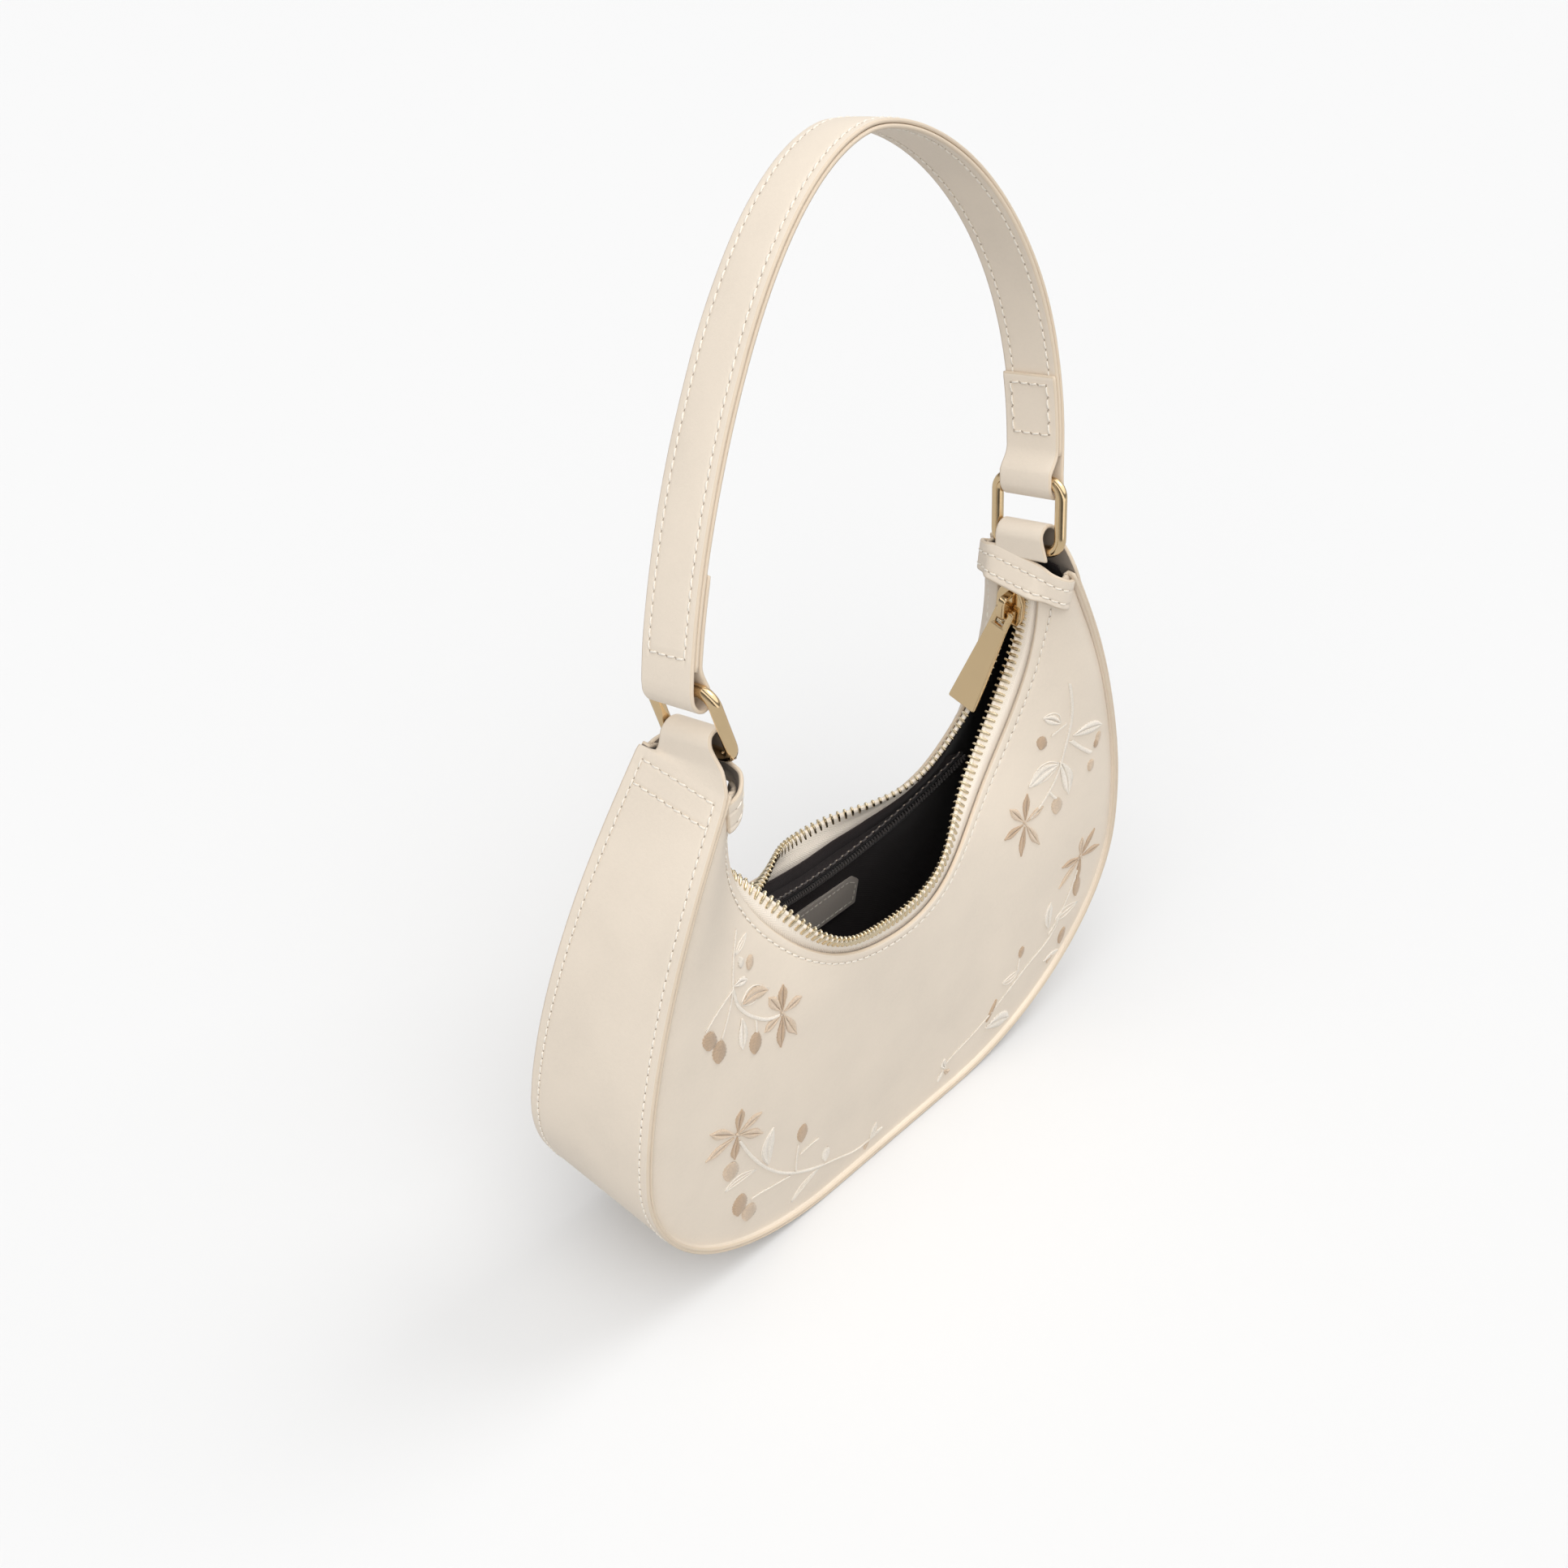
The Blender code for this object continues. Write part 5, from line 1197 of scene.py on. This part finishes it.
def on_back_lining(angle, radius):
    """The back lining's seen surface at an angle and radius about the mouth's centre."""
    run = (angle + TIP_ANGLE) / (2 * TIP_ANGLE)
    low, high = 0.0, 1.0
    for _ in range(22):
        share = (low + high) / 2
        depth = lining_depth(share, 1) + LINING
        point = face(run, share, 1) - face_out(run, share, 1) * depth
        reach = math.hypot(point[0], point[2] - ARC_HEIGHT)
        low, high = (share, high) if reach > radius else (low, share)
    return point


def make_linings():
    """Black cloth inside both panels and round the gusset."""
    run = np.linspace(0.028, 0.972, 161)
    for side, name in WALL_NAMES.items():
        shares = np.linspace(0.03, 0.99, 34)[:, None]
        point = face(run[None], shares, side)
        out = face_out(run[None], np.broadcast_to(shares, point.shape[:2]), side)
        depth = lining_depth(shares, side)[..., None] + LINING
        uneven = np.maximum(ripple(point, size=0.018, height=0.0007, seed=5.0 * side), -0.0001)
        grid = point - out * (depth + 0.0002 + uneven)
        made = skin(name + "_lining_cloth", grid, LINING, (0, -side, 0), [BLACK_CLOTH] * 3, steps=3)
        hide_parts(name + "_lining")
        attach(made, "bag")
    fold = RIM_HEIGHT + PANEL + WALL_DEPTH[1] + LINING + GAP
    half = half_depth(outline(FINE_RUN)[1]) - fold
    rows = [within(FINE_RUN, SEAM_INSET + LINING, share * half) for share in np.linspace(-1, 1, 13)]
    made = skin("side_lining_cloth", rows, LINING, (0, 0, 1), [BLACK_CLOTH] * 3, steps=3)
    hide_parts("gusset_lining")
    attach(made, "bag")


def pocket_plane():
    """The pocket zip's centre, its up and its way off the wall."""
    angles = np.linspace(-POCKET_HALF_ANGLE, POCKET_HALF_ANGLE, 27)
    points = [on_back_lining(a, POCKET_RADIUS) for a in angles]
    middle, end = points[13], points[-1]
    slope = (end[1] - middle[1]) / (end[2] - middle[2])
    lowest = min(p[1] - slope * (p[2] - ARC_HEIGHT) for p in points)
    up = Vector((0.0, slope, 1.0)).normalized()
    return np.array((0.0, lowest, ARC_HEIGHT)), np.array(up), np.array(Vector((1, 0, 0)).cross(up))


def make_pocket():
    """The inner pocket's curved zip: tape, coil, sewn welts, slider and pull."""
    centre, up, off = pocket_plane()

    def spokes(angles):
        return np.array((1.0, 0, 0)) * np.sin(angles)[:, None] - up * np.cos(angles)[:, None]

    angles = np.linspace(-POCKET_HALF_ANGLE, POCKET_HALF_ANGLE, 121)
    outward = spokes(angles)
    place = centre + outward * POCKET_RADIUS
    edges = [
        np.array([on_back_lining(a, POCKET_RADIUS + shift) for a in angles]) - np.array((0, 0.0010, 0))
        for shift in (0.0060, -0.0060)
    ]
    rows = [edges[0], edges[0] * 0.5 + (place + off * 0.0006 + outward * 0.0012) * 0.5]
    rows += [place + off * 0.0008 + outward * s for s in (0.0014, 0.0006, -0.0006, -0.0014)]
    rows += [edges[1] * 0.5 + (place + off * 0.0006 - outward * 0.0012) * 0.5, edges[1]]
    made = skin("pocket_tape", rows, POCKET_TAPE, off, [BLACK_TAPE] * 3, steps=3)
    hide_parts("pocket_zip_tape")
    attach(made, "bag")
    standoff = 2 * GAP + POCKET_TAPE + COIL_RADIUS
    coil = Batch()
    pitch, half_wide, half_thick = 0.00125, 0.00125, 0.00072
    turns = int(2 * POCKET_HALF_ANGLE * POCKET_RADIUS / pitch)
    share = np.linspace(0, 1, turns * 9 + 1)
    at = -POCKET_HALF_ANGLE + 2 * POCKET_HALF_ANGLE * share
    spin = 2 * math.pi * turns * share
    out = spokes(at)
    path = centre + out * POCKET_RADIUS + off * standoff
    path = path + out * (half_wide * np.cos(spin))[:, None] + off * (half_thick * np.sin(spin))[:, None]
    coil.tube(path, radii=0.00030, side=off, sides=5)
    made = coil.make("pocket_coil", BLACK_COIL, "bag")
    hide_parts("pocket_zip_coil")
    # Welted edges of the lining along the pocket's zip, with their stitches
    welt = Batch()
    sewing = Sewing()
    for sign in (1, -1):
        line = place + outward * (sign * 0.0042) + off * 0.0009
        welt.tube(line, radii=0.0006, side=off, sides=8, flat=0.5)
        row = line + outward * (sign * 0.0010) + off * SEAM_LIFT
        stitches(sewing, row, np.broadcast_to(off, line.shape), pitch=0.0030)
    welt.make("pocket_welts", BLACK_CLOTH, "bag")
    sewing.make("pocket_stitches", BLACK_COIL, "bag")
    bevelled("pocket_zip_slider", BLACK_METAL, width=0.0003)
    bevelled("pocket_zip_pull", BLACK_METAL, width=0.0002)


def make_label():
    """Bare leather patch with a slanting end, its border sewn."""
    low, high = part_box("label_patch")
    long, tall, point = 0.029, 0.007, 0.004
    slant = [(long - point / 2, -tall), (long, tall - point), (long - point, tall)]
    corners = [(-long, -tall)] + slant + [(-long, tall)]
    slope = math.atan2(high.y - low.y - 0.0009, high.z - low.z)
    place = Matrix.Translation(((low.x + high.x) / 2, (low.y + high.y) / 2, (low.z + high.z) / 2))
    place = place @ Matrix.Rotation(math.pi / 2 - slope, 4, "X")
    made = plate_mesh("label_leather", [round_corners(corners, 0.0008)], 0.0013, 0.0004, LABEL, place)
    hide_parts("label_patch")
    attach(made, "bag")
    inner = [(x * 0.935, y * 0.72) for x, y in corners]
    inner.append(inner[0])
    off = place.to_3x3() @ Vector((0, 0, 1))
    path = np.array([place @ Vector((x, y, 0.0006)) for x, y in inner])
    sewing = Sewing()
    for a, b in zip(path, path[1:]):
        line = resample(np.array([a, b]), 8)
        stitches(sewing, line, np.broadcast_to(np.array(off), line.shape), pitch=0.0024, radius=0.00022)
    sewing.make("label_stitches", THREAD, "bag")


# Embroidered sprays on the front panel, placed by where the photograph shows them

# Each sketch's corner in the photograph and its scale
UPPER = (860.0, 780.0, 2.4)
LOWER = (800.0, 1100.0, 2.2)
THREAD_RADIUS = 0.00021


class Ground:
    """The front panel's surface as seen from the camera."""

    def __init__(self, panel):
        corners = [v.co.copy() for v in panel.data.vertices]
        self.tree = BVHTree.FromPolygons(corners, [tuple(p.vertices) for p in panel.data.polygons])

    def at(self, sheet, x, y):
        """The point and normal under a sketch point; sheet is the sketch's corner pixel and its scale."""
        left, top, scale = sheet
        hit = self.tree.ray_cast(EYE, sight(left + x / scale, top + y / scale))
        if hit[0] is None or hit[1].y > -0.15:
            return None
        return np.array(hit[0]), np.array(hit[1])

    def path(self, sheet, points, count):
        """A soft line on the panel through sketch points."""
        fine = smooth_path(points, count)
        hits = [self.at(sheet, x, y) for x, y in fine]
        hits = [h for h in hits if h is not None]
        return np.array([h[0] for h in hits]), np.array([h[1] for h in hits])


def satin(batch, spine, normals, half_of, slant, spacing=0.00036, rise=0.00042, one_way=False):
    """Satin stitches along a spine: threads from it to both edges, or straight across one way."""
    both = np.concatenate([spine, normals], 1)
    run = lengths(spine)
    count = max(int(run[-1] / spacing), 3)
    for k in range(count):
        share = (k + 0.5) / count
        at = np.array([np.interp(share * run[-1], run, both[:, c]) for c in range(6)])
        behind, ahead = (
            np.array([np.interp(near * run[-1], run, both[:, c]) for c in range(3)])
            for near in (max(share - 0.05, 0), min(share + 0.05, 1))
        )
        along = unit(ahead - behind)
        normal = unit(at[3:])
        across = np.cross(normal, along)
        half = half_of(share) * (1 + 0.06 * math.sin(k * 1.9))
        ends = [(-1, 1)] if one_way else [(0, 1), (0, -1)]
        for a, b in ends:
            start = at[:3] + across * half * a + along * slant * half * a
            if not one_way:
                start = at[:3] + across * 0.00008 * b
            finish = at[:3] + across * half * b + along * slant * half * (abs(b) if not one_way else b)
            middle = (start + finish) / 2 + normal * rise
            shoulder = normal * rise * 0.7
            line = [
                start - normal * 0.0001, start * 0.8 + finish * 0.2 + shoulder, middle,
                start * 0.2 + finish * 0.8 + shoulder, finish - normal * 0.0001,
            ]
            batch.tube(line, np.array([0.7, 1, 1.05, 1, 0.7]) * THREAD_RADIUS, normal, sides=5)


def leaf_width(width):
    return lambda share: width * max(math.sin(math.pi * share ** 0.85), 0.06)


def petal_width(width):
    return lambda share: 1.12 * width * max(math.sin(math.pi * min(share ** 0.92, 1.0)) ** 1.35, 0.05)


def berry_width(width):
    return lambda share: 0.86 * width * max(1 - (2 * share - 1) ** 2, 0.02) ** 0.62


def make_embroidery(panel):
    """Four sprays of stems, leaves, berries and flowers, as sketches that a, b name and pixels place."""
    ground = Ground(panel)
    silks = {"pale": Batch(), "tan": Batch(), "light": Batch()}

    def stem(sheet, points, width=0.00045):
        spine, normals = ground.path(sheet, points, count=24)
        even = dict(slant=0.9, spacing=0.00042, rise=0.0004, one_way=True)
        satin(silks["pale"], spine, normals, lambda share: width, **even)

    def leaf(sheet, silk, points, width):
        spine, normals = ground.path(sheet, points, count=10)
        satin(silks[silk], spine, normals, leaf_width(width), slant=0.75)

    def vein(sheet, points, width):
        """An open leaf: its outline and mid line only."""
        spine, normals = ground.path(sheet, points, count=14)
        across = np.cross(normals, unit(np.gradient(spine, axis=0)))
        shape = np.array([leaf_width(width)(s) for s in np.linspace(0, 1, len(spine))])[:, None]
        for sign in (-1, 0, 1):
            silks["pale"].tube(spine + across * shape * sign + normals * 0.0001, 0.00024, normals, sides=5)

    def berry(sheet, silk, centre, half, width):
        (x, y), (dx, dy) = centre, half
        spine, normals = ground.path(sheet, [(x - dx, y - dy), (x, y), (x + dx, y + dy)], 8)
        satin(silks[silk], spine, normals, berry_width(width), slant=0.35, rise=0.0005, one_way=True)

    def flower(sheet, centre, tips, silks_of, width):
        cx, cy = centre
        for (x, y), silk in zip(tips, silks_of):
            base = (cx + (x - cx) * 0.10, cy + (y - cy) * 0.10)
            spine, normals = ground.path(sheet, [base, ((cx + x) / 2, (cy + y) / 2), (x, y)], 9)
            satin(silks[silk], spine, normals, petal_width(width), slant=0.8, spacing=0.00040)
        spine, normals = ground.path(sheet, [(cx - 3, cy - 3), centre, (cx + 3, cy + 3)], 5)
        knot = dict(slant=0.2, spacing=0.0003, rise=0.0006, one_way=True)
        satin(silks["light"], spine, normals, berry_width(0.0006), **knot)

    a, b = UPPER, LOWER
    # Upper right spray
    stem(a, [(1099, 148), (1107, 210), (1104, 262), (1092, 310), (1082, 350)], 0.00062)
    stem(a, [(1082, 350), (1066, 410), (1042, 462), (1012, 512), (982, 548)])
    stem(a, [(1088, 268), (1066, 286), (1044, 304)], 0.00034)
    vein(a, [(1072, 266), (1048, 250), (1020, 252)], 0.0022)
    leaf(a, "pale", [(1072, 266), (1048, 256), (1022, 252)], 0.0018)
    berry(a, "tan", (1017, 325), (-5, 19), 0.0030)
    leaf(a, "pale", [(1108, 302), (1150, 282), (1192, 268)], 0.0026)
    stem(a, [(1102, 318), (1132, 340), (1160, 352)], 0.00085)
    berry(a, "light", (1183, 306), (4, -16), 0.0021)
    berry(a, "tan", (1176, 326), (5, -10), 0.0020)
    berry(a, "light", (1161, 390), (5, -17), 0.0026)
    leaf(a, "pale", [(1066, 386), (1020, 412), (978, 456)], 0.0030)
    vein(a, [(1066, 386), (1020, 412), (978, 456)], 0.0036)
    leaf(a, "pale", [(1070, 380), (1092, 420), (1094, 474)], 0.0028)
    stem(a, [(1040, 470), (1050, 484), (1058, 488)], 0.0005)
    berry(a, "light", (1061, 510), (4, -24), 0.0036)
    flower(a, (966, 562), [(973, 475), (1020, 512), (1008, 624), (954, 660), (906, 612), (922, 522)],
           ("tan", "light", "light", "tan", "tan", "light"), 0.0015)
    # Lower right spray
    flower(a, (1130, 660), [(1172, 576), (1184, 624), (1136, 604), (1076, 694), (1066, 756), (1120, 730)],
           ("tan", "tan", "light", "tan", "light", "tan"), 0.0013)
    berry(a, "tan", (1119, 748), (5, -27), 0.0030)
    stem(a, [(1120, 700), (1096, 770), (1066, 840), (1034, 890)], 0.0003)
    leaf(a, "pale", [(1034, 872), (1034, 836), (1042, 798)], 0.0024)
    vein(a, [(1056, 846), (1086, 822), (1120, 794)], 0.0024)
    stem(a, [(1066, 842), (1050, 880), (1020, 925), (985, 965), (950, 1010), (915, 1060)], 0.0003)
    berry(a, "tan", (1074, 892), (8, -24), 0.0030)
    berry(a, "light", (1036, 962), (7, -12), 0.0018)
    leaf(a, "pale", [(1020, 970), (1040, 950), (1062, 934)], 0.0012)
    berry(a, "tan", (956, 942), (5, -16), 0.0022)
    stem(a, [(950, 962), (946, 980), (944, 1000)], 0.00032)
    vein(a, [(900, 1036), (925, 1022), (948, 996)], 0.0020)
    stem(b, [(1010, 215), (968, 268), (925, 325), (880, 378), (830, 430), (800, 465)], 0.0002)
    leaf(b, "tan", [(912, 350), (928, 318), (940, 288)], 0.0010)
    leaf(b, "pale", [(910, 366), (940, 346), (972, 334)], 0.0038)
    leaf(b, "pale", [(800, 474), (794, 464), (800, 450)], 0.0014)
    leaf(b, "pale", [(796, 480), (788, 494), (780, 512)], 0.0012)
    leaf(b, "light", [(800, 482), (806, 486), (812, 478)], 0.0010)
    # Upper left spray
    stem(b, [(234, 98), (228, 160), (225, 215), (226, 262)], 0.00028)
    stem(b, [(226, 262), (236, 305), (268, 333), (318, 346), (350, 332)], 0.00062)
    stem(b, [(226, 262), (218, 312), (206, 360), (196, 396)], 0.00026)
    stem(b, [(224, 266), (196, 304), (168, 350), (152, 378)], 0.00026)
    vein(b, [(232, 168), (248, 140), (262, 108)], 0.0012)
    berry(b, "light", (272, 188), (4, -20), 0.0022)
    berry(b, "pale", (247, 188), (5, -11), 0.0024)
    leaf(b, "pale", [(228, 252), (244, 242), (264, 234)], 0.0016)
    leaf(b, "light", [(250, 302), (284, 272), (320, 262)], 0.0026)
    vein(b, [(250, 302), (284, 270), (322, 260)], 0.0030)
    leaf(b, "pale", [(250, 340), (254, 380), (252, 424)], 0.0021)
    stem(b, [(288, 344), (290, 362), (290, 378)], 0.0003)
    berry(b, "tan", (164, 402), (-5, 26), 0.0046)
    berry(b, "tan", (190, 431), (-5, 31), 0.0042)
    berry(b, "tan", (288, 406), (-4, 30), 0.0034)
    flower(b, (360, 325), [(362, 248), (412, 280), (398, 382), (355, 418), (312, 378), (324, 284)],
           ("tan", "light", "light", "tan", "light", "light"), 0.0017)
    # Lower left spray
    stem(b, [(244, 672), (276, 716), (322, 750), (372, 762), (430, 752), (466, 738)], 0.00062)
    stem(b, [(466, 738), (510, 718), (556, 700), (600, 664)], 0.00022)
    leaf(b, "pale", [(322, 734), (318, 690), (336, 636)], 0.0026)
    vein(b, [(322, 734), (318, 690), (336, 636)], 0.0028)
    berry(b, "light", (221, 755), (-8, 26), 0.0050)
    stem(b, [(396, 752), (398, 716), (404, 682)], 0.00026)
    berry(b, "tan", (415, 650), (5, -24), 0.0032)
    stem(b, [(408, 708), (430, 686), (458, 664)], 0.0002)
    berry(b, "pale", (478, 706), (3, -18), 0.0026)
    vein(b, [(384, 838), (415, 792), (460, 744)], 0.0014)
    vein(b, [(204, 810), (240, 776), (288, 750)], 0.0018)
    stem(b, [(380, 766), (340, 790), (300, 812), (276, 828)], 0.00026)
    berry(b, "tan", (245, 845), (-7, 30), 0.0044)
    berry(b, "light", (270, 864), (-9, 24), 0.0050)
    leaf(b, "pale", [(596, 668), (606, 646), (614, 622)], 0.0012)
    leaf(b, "light", [(594, 668), (588, 680), (582, 694)], 0.0010)
    leaf(b, "pale", [(600, 664), (614, 648), (630, 634)], 0.0008)
    flower(b, (238, 655), [(250, 586), (304, 594), (306, 650), (230, 722), (152, 730), (164, 656)],
           ("tan", "light", "light", "tan", "light", "light"), 0.0018)
    for (silk, batch), finish in zip(silks.items(), (PALE_SILK, TAN_SILK, LIGHT_SILK)):
        batch.make("embroidery_" + silk, finish, "bag")


# Studio

def grey(level):
    return (level, level, level, 1.0)


def add_studio():
    """Near white floor and background, a wide soft light and a weak soft sun."""
    floor = bpy.data.meshes.new("floor")
    size, low = 6.0, -0.0002
    corners = [(-size, -size, low), (size, -size, low), (size, size, low), (-size, size, low)]
    floor.from_pydata(corners, [], [(0, 1, 2, 3)])
    made = Finish("studio_floor", grey(0.785), 0.9, specular=0.1)
    # The floor is near white to the camera and throws back less light than that on the bag's lower half
    seen = made.node("ShaderNodeLightPath").outputs["Is Camera Ray"]
    made.paint("Base Color", made.ramp(seen, ((0.0, grey(0.50)), (1.0, grey(0.785)))))
    floor.materials.append(made.material)
    ground = put("studio_floor", floor)
    world = bpy.data.worlds.new("studio")
    bpy.context.scene.world = world
    world.use_nodes = True
    sky = Nodes(world.node_tree)
    place = sky.node("ShaderNodeTexCoord").outputs["Generated"]

    def lights(direction, stops):
        """Grey levels by how far a ray points along a direction: 0 is away from it, 1 is along it."""
        half = tuple(Vector(direction).normalized() * 0.5)
        dot = sky.node("ShaderNodeVectorMath", {0: place, 1: half}, operation="DOT_PRODUCT").outputs["Value"]
        return sky.ramp(sky.math("ADD", dot, 0.5), [(position, grey(level)) for position, level in stops])

    def choose(test, no, yes):
        return sky.node("ShaderNodeMix", {0: ray.outputs[test], 6: no, 7: yes}, data_type="RGBA").outputs[2]

    # A wide soft light over the near left side, which also reaches into the open mouth
    soft = lights((-0.42, -0.36, 0.83), (
        (0.0, 0.42), (0.5, 0.42), (0.8, 0.47), (0.9, 1.4), (0.95, 2.2), (1.0, 2.4),
    ))
    # What polished metal sees: bright panels with dark gaps between them
    panels = lights((0.55, -0.25, 0.8), (
        (0.00, 0.50), (0.30, 0.35), (0.44, 0.10), (0.56, 0.10), (0.60, 1.10), (0.72, 1.30), (0.76, 0.22),
        (0.84, 0.22), (0.88, 1.30), (1.00, 1.45),
    ))
    ray = sky.node("ShaderNodeLightPath")
    seen = choose("Is Camera Ray", choose("Is Glossy Ray", soft, panels), grey(0.935))
    sky.tree.links.new(seen, sky.tree.nodes["Background"].inputs["Color"])
    sun = bpy.data.lights.new("soft_key", "SUN")
    sun.energy = 0.65
    sun.angle = math.radians(26)
    lamp = put("soft_key", sun)
    lamp.rotation_euler = Vector((0.85, -0.25, 1.35)).to_track_quat("Z", "Y").to_euler()
    bpy.context.scene.view_settings.view_transform = "Standard"


add_camera()
add_studio()
front_panel = make_panel(-1)
make_panel(1)
for which in (-1, 1):
    make_tab_side(which)
    make_flap(which)
    make_ring(which)
    make_tape(which)
    make_teeth(which)
make_handle()
make_slider()
make_pull()
make_linings()
make_pocket()
make_label()
make_embroidery(front_panel)
for part_name in ("zip_bottom_stop", "zip_top_stop_front", "zip_top_stop_back"):
    bevelled(part_name, TEETH_GOLD, width=0.0003)
for part_name in ("front_stiffener", "back_stiffener", "base_board"):
    plain(part_name, BOARD)
plain("pocket_pouch", BLACK_CLOTH)
